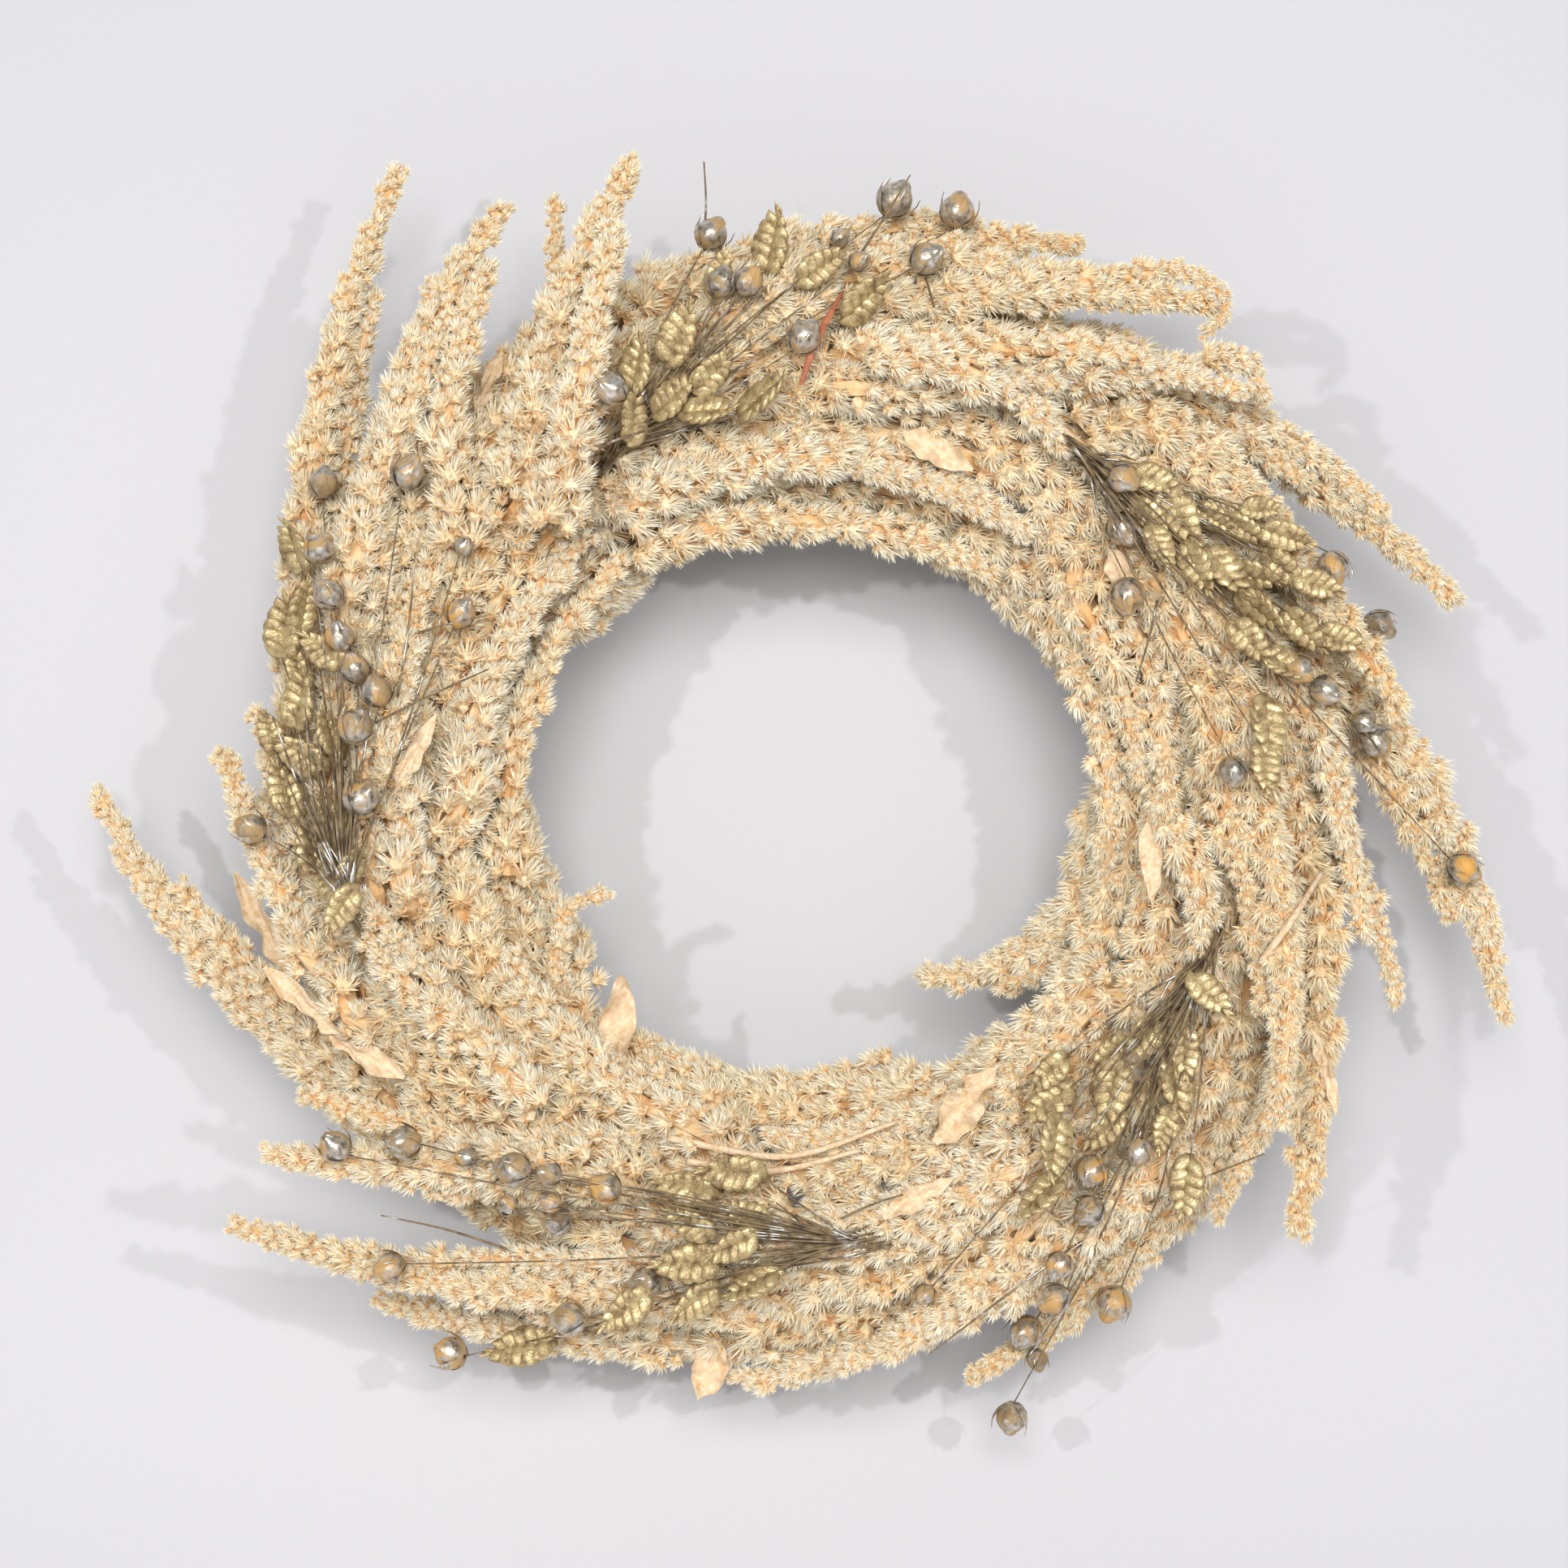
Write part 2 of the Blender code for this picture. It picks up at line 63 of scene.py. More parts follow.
RING_MIDDLE = wire_ring("outer_back")[0]
CENTRE = Vector((RING_MIDDLE.x, 0, RING_MIDDLE.z))
MIDDLE_RADIUS = (wire_ring("outer_front")[1] + wire_ring("inner_front")[1]) / 2
SPRAY_NODES = sorted((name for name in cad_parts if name.startswith("amaranth_")),
                     key=lambda name: int(name.rsplit("_", 1)[1]))


def polar(clock, radius, depth=0.0):
    """A place from its clock angle and its distance from the wreath's middle."""
    return CENTRE + Vector((radius * math.sin(clock * DEGREE), depth, radius * math.cos(clock * DEGREE)))


# ------ meshes from arrays

def mesh_from_arrays(name, points, faces, uv=None, slots=None, smooth=False):
    """A mesh from arrays of points, of triangles, of one UV for each point and of face slots."""
    mesh = bpy.data.meshes.new(name)
    mesh.vertices.add(len(points))
    mesh.vertices.foreach_set("co", np.asarray(points, np.float32).ravel())
    mesh.loops.add(3 * len(faces))
    mesh.loops.foreach_set("vertex_index", np.asarray(faces, np.int32).ravel())
    mesh.polygons.add(len(faces))
    mesh.polygons.foreach_set("loop_start", np.arange(0, 3 * len(faces), 3, dtype=np.int32))
    mesh.polygons.foreach_set("use_smooth", np.full(len(faces), smooth))
    if slots is not None:
        mesh.polygons.foreach_set("material_index", np.asarray(slots, np.int32))
    mesh.update(calc_edges=True)
    if uv is not None:
        layer = mesh.uv_layers.new(name="OFBake")
        layer.uv.foreach_set("vector", np.asarray(uv, np.float32)[np.asarray(faces).ravel()].ravel())
    mesh.validate()
    return mesh


def new_object(name, data):
    thing = bpy.data.objects.new(name, data)
    bpy.context.scene.collection.objects.link(thing)
    return thing


def add_piece(name, mesh, materials, replaces, body="wreath"):
    piece = new_object(name, mesh)
    for material in materials:
        mesh.materials.append(material)
    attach(piece, body)
    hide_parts(*replaces)
    return piece


def unit(rows):
    return rows / np.maximum(np.linalg.norm(rows, axis=-1, keepdims=True), 1e-12)


def smooth_curve(points, values, steps):
    """A smooth curve through points, with a value that goes along, at even steps of length."""
    points = np.asarray(points, float)
    values = np.asarray(values, float)
    padded = np.vstack([2 * points[0] - points[1], points, 2 * points[-1] - points[-2]])
    fine, fine_values = [], []
    share = np.linspace(0, 1, 12, endpoint=False)[:, None]
    for index in range(len(points) - 1):
        a, b, c, d = padded[index:index + 4]
        fine.append(0.5 * (2 * b + (c - a) * share + (2 * a - 5 * b + 4 * c - d) * share ** 2
                           + (3 * b - a - 3 * c + d) * share ** 3))
        fine_values.append(values[index] + (values[index + 1] - values[index]) * share[:, 0])
    fine = np.vstack(fine + [points[-1:]])
    fine_values = np.concatenate(fine_values + [values[-1:]])
    run = np.concatenate([[0], np.cumsum(np.linalg.norm(np.diff(fine, axis=0), axis=1))])
    even = np.linspace(0, run[-1], steps)
    curve = np.stack([np.interp(even, run, fine[:, axis]) for axis in range(3)], axis=1)
    return curve, np.interp(even, run, fine_values)


def frames_along(curve):
    """Tangent and two sideways directions at each point of a curve, without twist."""
    tangents = unit(np.gradient(curve, axis=0))
    side = unit(np.cross(tangents[0], [0.0, 1.0, 0.0]))
    sides = []
    for tangent in tangents:
        side = side - tangent * side.dot(tangent)
        side = side / max(np.linalg.norm(side), 1e-9)
        sides.append(side)
    sides = np.array(sides)
    return tangents, sides, np.cross(tangents, sides)


def tube_wall(curve, radii, sides):
    """Rings of points round a curve, and the faces between them. radii has a row for each ring."""
    _, first, second = frames_along(curve)
    turn = np.arange(sides) * 2 * math.pi / sides
    spokes = first[:, None] * np.cos(turn)[None, :, None] + second[:, None] * np.sin(turn)[None, :, None]
    faces = []
    for row in range(len(curve) - 1):
        for side in range(sides):
            a, b = row * sides + side, row * sides + (side + 1) % sides
            faces += [(a, b, b + sides), (a, b + sides, a + sides)]
    return (curve[:, None] + spokes * radii[..., None]).reshape(-1, 3), faces


def together(parts):
    """The points and faces of several parts as one."""
    points = np.vstack([part[0] for part in parts])
    starts = np.cumsum([0] + [len(part[0]) for part in parts[:-1]])
    return points, np.vstack([part[1] + start for part, start in zip(parts, starts)])


# ------ materials

def srgb(red, green, blue):
    """An 8-bit screen colour as a linear one."""
    def linear(value):
        value /= 255
        return value / 12.92 if value <= 0.04045 else ((value + 0.055) / 1.055) ** 2.4
    return (linear(red), linear(green), linear(blue), 1.0)


class Nodes:
    """A short way to write a material's nodes."""

    def __init__(self, name, roughness, metallic=0.0):
        self.material = bpy.data.materials.new(name)
        self.material.use_nodes = True
        self.tree = self.material.node_tree
        self.shader = self.tree.nodes["Principled BSDF"]
        self.shader.inputs["Roughness"].default_value = roughness
        self.shader.inputs["Metallic"].default_value = metallic

    def add(self, kind, **settings):
        node = self.tree.nodes.new(kind)
        for key, value in settings.items():
            setattr(node, key, value)
        return node

    def link(self, output, target):
        self.tree.links.new(output, target)

    def noise(self, scale, detail=3.0, distortion=0.0):
        node = self.add("ShaderNodeTexNoise")
        place = self.add("ShaderNodeTexCoord")
        self.link(place.outputs["Object"], node.inputs["Vector"])
        for socket, value in (("Scale", scale), ("Detail", detail), ("Distortion", distortion)):
            node.inputs[socket].default_value = value
        return node.outputs["Fac"]

    def ramp(self, source, *stops):
        """stops are (position, colour) pairs."""
        node = self.add("ShaderNodeValToRGB")
        points = node.color_ramp.elements
        while len(points) < len(stops):
            points.new(0.5)
        for point, (position, colour) in zip(points, stops):
            point.position = position
            point.color = colour
        self.link(source, node.inputs["Fac"])
        return node.outputs["Color"]

    def mix(self, share, first, second):
        node = self.add("ShaderNodeMix", data_type="RGBA")
        self.link(share, node.inputs[0])
        self.link(first, node.inputs[6])
        self.link(second, node.inputs[7])
        return node.outputs[2]

    def bump(self, height, strength, distance):
        node = self.add("ShaderNodeBump")
        node.inputs["Strength"].default_value = strength
        node.inputs["Distance"].default_value = distance
        self.link(height, node.inputs["Height"])
        self.link(node.outputs["Normal"], self.shader.inputs["Normal"])

    def number(self, source, low, high, socket):
        """Maps 0 to 1 onto low to high and feeds a socket of the shader."""
        node = self.add("ShaderNodeMapRange")
        node.inputs["To Min"].default_value = low
        node.inputs["To Max"].default_value = high
        self.link(source, node.inputs["Value"])
        self.link(node.outputs["Result"], self.shader.inputs[socket])

    def one_sided(self):
        """Clear from behind, so the back of the wreath can be seen through the wall it hangs on."""
        side = self.add("ShaderNodeNewGeometry")
        clear = self.add("ShaderNodeBsdfTransparent")
        either = self.add("ShaderNodeMixShader")
        self.link(side.outputs["Backfacing"], either.inputs[0])
        self.link(self.shader.outputs[0], either.inputs[1])
        self.link(clear.outputs[0], either.inputs[2])
        self.link(either.outputs[0], self.tree.nodes["Material Output"].inputs["Surface"])

    def colour(self, source):
        self.link(source, self.shader.inputs["Base Color"])
        return self.material


def plume_material():
    """Colour from the mesh's map: across it from a bract's foot to its tip, up it from ivory to peach."""
    made = Nodes("amaranth_bracts", 0.75)
    place = made.add("ShaderNodeUVMap", uv_map="OFBake")
    parts = made.add("ShaderNodeSeparateXYZ")
    made.link(place.outputs["UV"], parts.inputs["Vector"])
    # The dark warm stops at the low end serve mostly as painted shade: only the feet of the bracts under
    # each cluster and the plume cores reach them.
    ivory = made.ramp(parts.outputs["X"], (0.0, srgb(196, 124, 62)), (0.24, srgb(238, 198, 143)),
                      (0.50, srgb(242, 229, 199)), (1.0, srgb(243, 243, 233)))
    peach = made.ramp(parts.outputs["X"], (0.0, srgb(184, 112, 50)), (0.24, srgb(234, 188, 128)),
                      (0.50, srgb(241, 221, 180)), (1.0, srgb(243, 238, 214)))
    return made.colour(made.mix(parts.outputs["Y"], ivory, peach))


def gilded_material():
    """Olive-gold paint in patches over dry husk; its brightest patches are painted glints."""
    made = Nodes("gilded_husk", 0.36, 0.45)
    patches = made.noise(420, 4)
    # The top stop is a painted glint; the lower stops are the gilding's own patchy colour.
    colour = made.ramp(patches, (0.30, srgb(122, 100, 66)), (0.45, srgb(172, 148, 106)),
                       (0.60, srgb(202, 182, 134)), (0.80, srgb(246, 232, 184)))
    made.number(patches, 0.55, 0.16, "Roughness")
    made.number(patches, 0.0, 0.7, "Metallic")
    made.bump(made.noise(1500, 3), 0.8, 0.0003)
    return made.colour(colour)


def silver_material():
    """Patchy silver paint over an olive and tan seed capsule."""
    made = Nodes("silvered_capsule", 0.3)
    patches = made.noise(190, 4, 0.6)
    paint = made.ramp(patches, (0.42, (0, 0, 0, 1)), (0.54, (0.8, 0.8, 0.8, 1)))
    husk = made.ramp(made.noise(90, 2), (0.25, srgb(96, 80, 56)), (0.5, srgb(176, 148, 106)),
                     (0.75, srgb(222, 166, 80)))
    silver = made.ramp(made.noise(600, 3), (0.28, srgb(120, 112, 98)), (0.45, srgb(196, 190, 178)),
                       (0.7, srgb(246, 244, 240)))
    made.link(paint, made.shader.inputs["Metallic"])
    made.number(paint, 0.6, 0.24, "Roughness")
    made.bump(made.noise(900, 3), 0.6, 0.0003)
    return made.colour(made.mix(paint, husk, silver))


def stem_material():
    """Dark dry stalk with silver paint here and there."""
    made = Nodes("painted_stems", 0.5)
    patches = made.noise(150, 4, 0.4)
    paint = made.ramp(patches, (0.56, (0, 0, 0, 1)), (0.64, (1, 1, 1, 1)))
    bark = made.ramp(made.noise(300, 2), (0.3, srgb(84, 66, 46)), (0.7, srgb(154, 132, 96)))
    silver = made.ramp(made.noise(700, 2), (0.3, srgb(160, 154, 142)), (0.7, srgb(226, 222, 214)))
    made.link(paint, made.shader.inputs["Metallic"])
    made.number(paint, 0.65, 0.3, "Roughness")
    return made.colour(made.mix(paint, bark, silver))


def rust_material():
    made = Nodes("rust_blade", 0.6)
    veins = made.noise(400, 3, 0.8)
    made.bump(veins, 0.4, 0.0003)
    return made.colour(made.ramp(veins, (0.3, srgb(150, 84, 54)), (0.7, srgb(196, 122, 84))))


def leaf_material():
    """Papery bleached leaf, darker where its fibre bump dips."""
    made = Nodes("papery_leaf", 0.7)
    fibres = made.noise(500, 5, 1.2)
    colour = made.ramp(fibres, (0.25, srgb(206, 168, 122)), (0.5, srgb(234, 206, 168)),
                       (0.8, srgb(246, 232, 208)))
    made.bump(fibres, 0.5, 0.0004)
    made.shader.inputs["Subsurface Weight"].default_value = 0.1
    made.shader.inputs["Subsurface Scale"].default_value = 0.001
    return made.colour(colour)


def wire_material(name, dark, light, roughness, metallic):
    made = Nodes(name, roughness, metallic)
    wear = made.noise(240, 4)
    made.number(wear, roughness - 0.1, roughness + 0.15, "Roughness")
    made.bump(made.noise(1200, 2), 0.3, 0.0001)
    return made.colour(made.ramp(wear, (0.35, dark), (0.7, light)))


# ------ plumes

SPRAY_SIDES = 8                 # corners round each CAD spray
SPINE_STEPS = 60
CLUSTER_SPACING = 6.4 * MM      # between neighbouring clusters of bracts
BRACTS = 58                     # in a cluster
BEAD_SPACING = 9 * MM           # between the bulges along a plume
CORE = 0.35                     # radius of a plume's core against the plume's
COVERED = 0.55                  # a cluster this deep in another plume's radius is left out
WIDEST = 12 * MM                # wider than the radius of any plume
BACK_LIMIT = -3.5 * MM          # nothing of a plume's middle lies behind this
FRAME_FRONT = -14 * MM          # what a sprig rests on where no plume lies under it
# The plumes of a CAD spray: where each begins and ends along it, and how far it lies off its middle
STRANDS = ((0.04, 1.0, 0.20), (0.0, 0.80, 0.48), (0.03, 0.66, 0.52), (0.10, 0.90, 0.45))
# Radius and depth in millimetres of each ring of filling plumes, and how many it has
UNDERLAYERS = ((84, -20, 10), (95, -31, 11), (104, -35, 12), (113, -36, 13), (123, -31, 14),
               (134, -20, 15))
# Extra plumes with no CAD spray of their own: the spray they belong to, then clock angle,
# millimetres from the wreath's middle and depth at each point, and their girth
EXTRA_PLUMES = (
    (26, ((302, 118, -30), (314, 142, -34), (324, 166, -30)), 7.0),
    (27, ((306, 112, -40), (318, 138, -42), (329, 161, -34)), 7.4),
    (28, ((322, 128, -24), (333, 148, -26), (337, 171, -22)), 5.0),
    (29, ((341, 118, -34), (358, 132, -36), (15, 150, -30)), 7.0),
    (4, ((20, 118, -40), (36, 132, -42), (44, 158, -34), (49, 156, -30)), 6.4),
    (8, ((62, 120, -34), (84, 132, -36), (104, 147, -30)), 7.2),
    (11, ((100, 128, -30), (118, 140, -30), (136, 152, -24)), 7.0),
    (14, ((142, 112, -36), (158, 128, -38), (176, 146, -30)), 7.4),
    (17, ((174, 118, -34), (194, 134, -34), (212, 148, -26)), 7.4),
    (20, ((208, 112, -34), (226, 126, -38), (240, 152, -30)), 7.0),
    (23, ((246, 108, -36), (262, 128, -36), (279, 146, -28)), 7.2),
    (4, ((22, 146, -30), (31, 157, -32), (34, 165, -33), (38.5, 168, -33), (40.5, 163, -34),
         (40, 156, -35)), 4.8),
    (21, ((228, 88, -22), (238, 78, -26), (246, 68, -28), (245, 57, -30)), 4.4),
    (10, ((92, 136, -26), (103, 152, -24), (109, 163, -20)), 4.8),
    (15, ((168, 140, -22), (182, 151, -20), (188, 153, -18)), 5.5),
    (18, ((196, 138, -26), (207, 150, -24), (213, 153, -20)), 6.0),
    (26, ((294, 104, -20), (310, 106, -22), (328, 108, -20)), 7.0),
    (0, ((326, 80, -26), (346, 74, -27), (8, 72, -27), (30, 74, -24), (40, 76, -22)), 7.6),
    (3, ((346, 78, -16), (10, 75, -15), (34, 76, -15), (52, 79, -18)), 7.0),
    (23, ((256, 81, -26), (280, 78, -28), (304, 78, -28), (324, 80, -26)), 6.8),
    (8, ((50, 80, -26), (74, 78, -28), (96, 78, -26), (110, 81, -24)), 6.6),
)
# Plumes that lie over the others and hide the foot of a sprig: owner, clock angle and radius, girth
COVERS = (
    (28, ((317, 96), (329, 113), (336, 133), (341, 151)), 7.6),
    (1, ((8, 112), (18, 114), (28, 113), (36, 109)), 6.4),
    (10, ((94, 92), (103, 101), (110, 106), (117, 113)), 6.6),
    (20, ((222, 104), (234, 105), (245, 107), (258, 116)), 6.8),
    (20, ((236, 106), (244, 111), (251, 115), (256.5, 119)), 6.2),
)


def spray_spine(node):
    """Centre points and radii along a CAD spray, from its stem's end to its tip."""
    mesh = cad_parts[node].data
    points = np.empty(3 * len(mesh.vertices))
    mesh.vertices.foreach_get("co", points)
    points = points.reshape(-1, 3)
    _, first, same = np.unique(np.round(points, 6), axis=0, return_index=True, return_inverse=True)
    same = same.reshape(-1)
    points = points[first]
    near = [set() for _ in points]
    for edge in mesh.edges:
        a, b = same[edge.vertices[0]], same[edge.vertices[1]]
        near[a].add(b)
        near[b].add(a)
    middle = np.hypot(np.hypot(points[:, 0] - CENTRE.x, points[:, 2] - CENTRE.z) - MIDDLE_RADIUS,
                      points[:, 1] + 3 * MM)
    clock = np.degrees(np.arctan2(points[:, 0] - CENTRE.x, points[:, 2] - CENTRE.z)) % 360
    bound = np.flatnonzero(middle < 4 * MM)
    turn = (clock[bound] - clock[bound[0]] + 180) % 360 - 180
    start = bound[np.argmin(turn)]
    run = np.full(len(points), np.inf)
    run[start] = 0
    waiting = [start]
    while waiting:
        here = min(waiting, key=lambda index: run[index])
        waiting.remove(here)
        for other in near[here]:
            reached = run[here] + np.linalg.norm(points[other] - points[here])
            if reached < run[other] - 1e-9:
                run[other] = reached
                if other not in waiting:
                    waiting.append(other)
    rings = points[np.argsort(run)].reshape(-1, SPRAY_SIDES, 3)
    centres = rings.mean(axis=1)
    radii = np.linalg.norm(rings - centres[:, None], axis=2).mean(axis=1)
    return centres, radii


class Plume:
    """One plume: where it runs, how fat it is, how peachy it is, and the spray it belongs to."""

    def __init__(self, owner, rng, curve, radii, tint):
        self.length = np.linalg.norm(np.diff(curve, axis=0), axis=1).sum()
        beads = np.linspace(0, 2 * math.pi * self.length / BEAD_SPACING, len(curve))
        knobbly = radii * (1 + 0.12 * np.sin(beads + rng.uniform(0, 6)) + 0.08 * np.sin(0.43 * beads))
        self.owner, self.rng, self.curve, self.radii, self.tint = owner, rng, curve, knobbly, tint


def spray_plumes(owner, node):
    """The plumes of one spray: the main one reaches its tip, the others lie round it."""
    rng = np.random.default_rng(100 + owner)
    centres, radii = spray_spine(node)
    full = radii.max()
    start = int(np.argmax(radii > 0.3 * full)) - 1
    curve, fat = smooth_curve(centres[start:], radii[start:], SPINE_STEPS)
    _, first, second = frames_along(curve)
    warmth = rng.normal(0.45, 0.14)
    around = rng.uniform(0, 2 * math.pi)
    plumes = []
    for index, (begin, end, off) in enumerate(STRANDS):
        rows = np.arange(int(begin * (SPINE_STEPS - 1)), int(end * (SPINE_STEPS - 1)) + 1)
        share = np.linspace(0, 1, len(rows))
        angle = around + index * 2.1 + 1.1 * share + rng.uniform(-0.3, 0.3)
        away = off * full * (1 - 0.2 * share) * np.minimum(1, 0.4 + 2.5 * share)
        path = (curve[rows] + first[rows] * (np.cos(angle) * away)[:, None]
                + second[rows] * (np.sin(angle) * away)[:, None])
        girth = rng.uniform(6.2, 7.6) * MM
        taper = np.clip(0.6 + 3.0 * share, 0, 1) * (1 - 0.54 * share ** 2.0)
        tint = np.clip(warmth + rng.normal(0, 0.2), 0.08, 0.92)
        plumes.append(Plume(owner, rng, path, girth * taper, tint))
    return plumes


def underlayer_plumes():
    """Shorter plumes that fill the hollows between the sprays all round the ring."""
    rng = np.random.default_rng(50)
    plumes = []
    for radius, depth, count in UNDERLAYERS:
        for index in range(count):
            clock = 360 * (index + rng.uniform(-0.2, 0.2)) / count
            reach = 360 / count * 1.5
            splay = rng.uniform(-2, 5)
            share = np.linspace(0, 1, 24)
            path = np.array([polar(clock + reach * part, (radius + splay * part) * MM, depth * MM)
                             for part in share])
            path[:, 1] += rng.uniform(-2, 2) * MM
            girth = rng.uniform(7.0, 8.4) * MM
            owner = int((clock + 8) / 12) % len(SPRAY_NODES)
            plumes.append(Plume(owner, rng, path, girth * (1 - 0.45 * share ** 2),
                                np.clip(rng.normal(0.6, 0.18), 0.1, 0.92)))
    return plumes


def listed_plumes(rows, seed, tip, tints):
    """Plumes through listed places. A place without a depth lies on the front of the others."""
    rng = np.random.default_rng(seed)
    plumes = []
    for owner, places, girth in rows:
        points = []
        for clock, radius, *depth in places:
            point = polar(clock, radius * MM)
            point.y = depth[0] * MM if depth else resting_depth(point, 3.5 * MM)
            points.append(point)
        curve, fat = smooth_curve(points, np.linspace(1, tip, len(points)), 40)
        plumes.append(Plume(owner, rng, curve, fat * girth * MM, rng.uniform(*tints)))
    return plumes


PLUMES = [plume for owner, node in enumerate(SPRAY_NODES) for plume in spray_plumes(owner, node)]
PLUMES += underlayer_plumes() + listed_plumes(EXTRA_PLUMES, 90, 0.42, (0.25, 0.6))


def gathered(plumes):
    """Every point, radius and plume number along these plumes."""
    return (np.vstack([plume.curve for plume in plumes]),
            np.concatenate([plume.radii for plume in plumes]),
            np.concatenate([np.full(len(plume.curve), index) for index, plume in enumerate(plumes)]))


PLUME_POINTS, PLUME_RADII, PLUME_INDEX = gathered(PLUMES)


def buried(index, places, share):
    """Which places lie inside some other plume, within this share of its radius."""
    low, high = places.min(0) - WIDEST, places.max(0) + WIDEST
    near = ((PLUME_POINTS > low) & (PLUME_POINTS < high)).all(1) & (PLUME_INDEX != index)
    points, reach = PLUME_POINTS[near], PLUME_RADII[near] * share
    if not len(points):
        return np.zeros(len(places), bool)
    apart = np.linalg.norm(places[:, None] - points[None], axis=2)
    return (apart < reach[None]).any(1)


def resting_depth(place, reach):
    """The depth at which a ball of this radius rests on the front of the plumes."""
    rise = ((PLUME_RADII * 1.12 + reach) ** 2 - (PLUME_POINTS[:, 0] - place[0]) ** 2
            - (PLUME_POINTS[:, 2] - place[2]) ** 2)
    under = rise > 0
    if not under.any():
        return FRAME_FRONT
    return min(FRAME_FRONT, float((PLUME_POINTS[under, 1] - np.sqrt(rise[under])).min()))


PLUMES += listed_plumes(COVERS, 95, 0.5, (0.15, 0.35))
PLUME_POINTS, PLUME_RADII, PLUME_INDEX = gathered(PLUMES)


def icosahedron():
    work = bmesh.new()
    bmesh.ops.create_icosphere(work, subdivisions=1, radius=1)
    points = np.array([vertex.co[:] for vertex in work.verts])
    faces = np.array([[vertex.index for vertex in face.verts] for face in work.faces])
    work.free()
    return points, faces


BLOB_POINTS, BLOB_FACES = icosahedron()


def blobs(rng, centres, headings, sizes, tones, tints):
    """The solid middles of clusters."""
    count = len(centres)
    rough = BLOB_POINTS[None] * rng.uniform(0.85, 1.15, (count, len(BLOB_POINTS), 1))
    lengthwise = (rough * headings[:, None]).sum(2, keepdims=True) * headings[:, None]
    points = centres[:, None] + (rough + lengthwise * 0.25) * sizes[:, None, None]
    faces = BLOB_FACES[None] + (np.arange(count) * len(BLOB_POINTS))[:, None, None]
    across = np.clip(tones[:, None] + rng.uniform(-0.04, 0.04, (count, len(BLOB_POINTS))), 0.01, 0.99)
    up = np.clip(tints[:, None] + rng.uniform(-0.01, 0.01, (count, len(BLOB_POINTS))), 0.004, 0.996)
    return points.reshape(-1, 3), faces.reshape(-1, 3), np.stack([across, up], axis=2).reshape(-1, 2)


def spikes(rng, feet, tips, widths, tones, tints):
    """Three-sided pointed bracts, as points, faces and map places."""
    count = len(feet)
    axes = unit(tips - feet)
    side = unit(np.cross(axes, rng.normal(size=(count, 3))))
    other = np.cross(axes, side)
    turn = np.arange(3) * 2 * math.pi / 3
    ring = (side[:, None] * np.cos(turn)[None, :, None] * widths[:, None, None]
            + other[:, None] * np.sin(turn)[None, :, None] * widths[:, None, None] * 0.6)
    points = np.concatenate([feet[:, None] + ring, tips[:, None]], axis=1).reshape(-1, 3)
    base = (np.arange(count) * 4)[:, None]
    faces = np.concatenate([base + [0, 1, 3], base + [1, 2, 3], base + [2, 0, 3]], axis=1).reshape(-1, 3)
    spread = np.array([-0.003, 0.0, 0.003, 0.0])
    across = np.stack([tones[0], tones[0] + 0.04, tones[0] + 0.08, tones[1]], axis=1)
    up = np.clip(tints[:, None] + spread, 0.004, 0.996)
    return points, faces, np.stack([across, up], axis=2).reshape(-1, 2)


def core_tube(rng, curve, radii, tint):
    """The middle of a plume, which shows in the creases between its clusters."""
    sides = 7
    knobs = rng.uniform(0.85, 1.15, (len(curve), sides))
    points, faces = tube_wall(curve, radii[:, None] * knobs, sides)
    points = np.vstack([points, curve[:1], curve[-1:]])
    last = (len(curve) - 1) * sides
    for side in range(sides):
        after = (side + 1) % sides
        faces += [(len(points) - 2, after, side), (len(points) - 1, last + side, last + after)]
    # Tones run down towards the dark warm end of the ramps: the core's own colour, partly painted shade
    # for the creases it shows in.
    uv = np.stack([rng.uniform(0.08, 0.46, len(points)),
                   np.clip(tint + rng.uniform(-0.004, 0.004, len(points)), 0.004, 0.996)], axis=1)
    return points, np.array(faces), uv


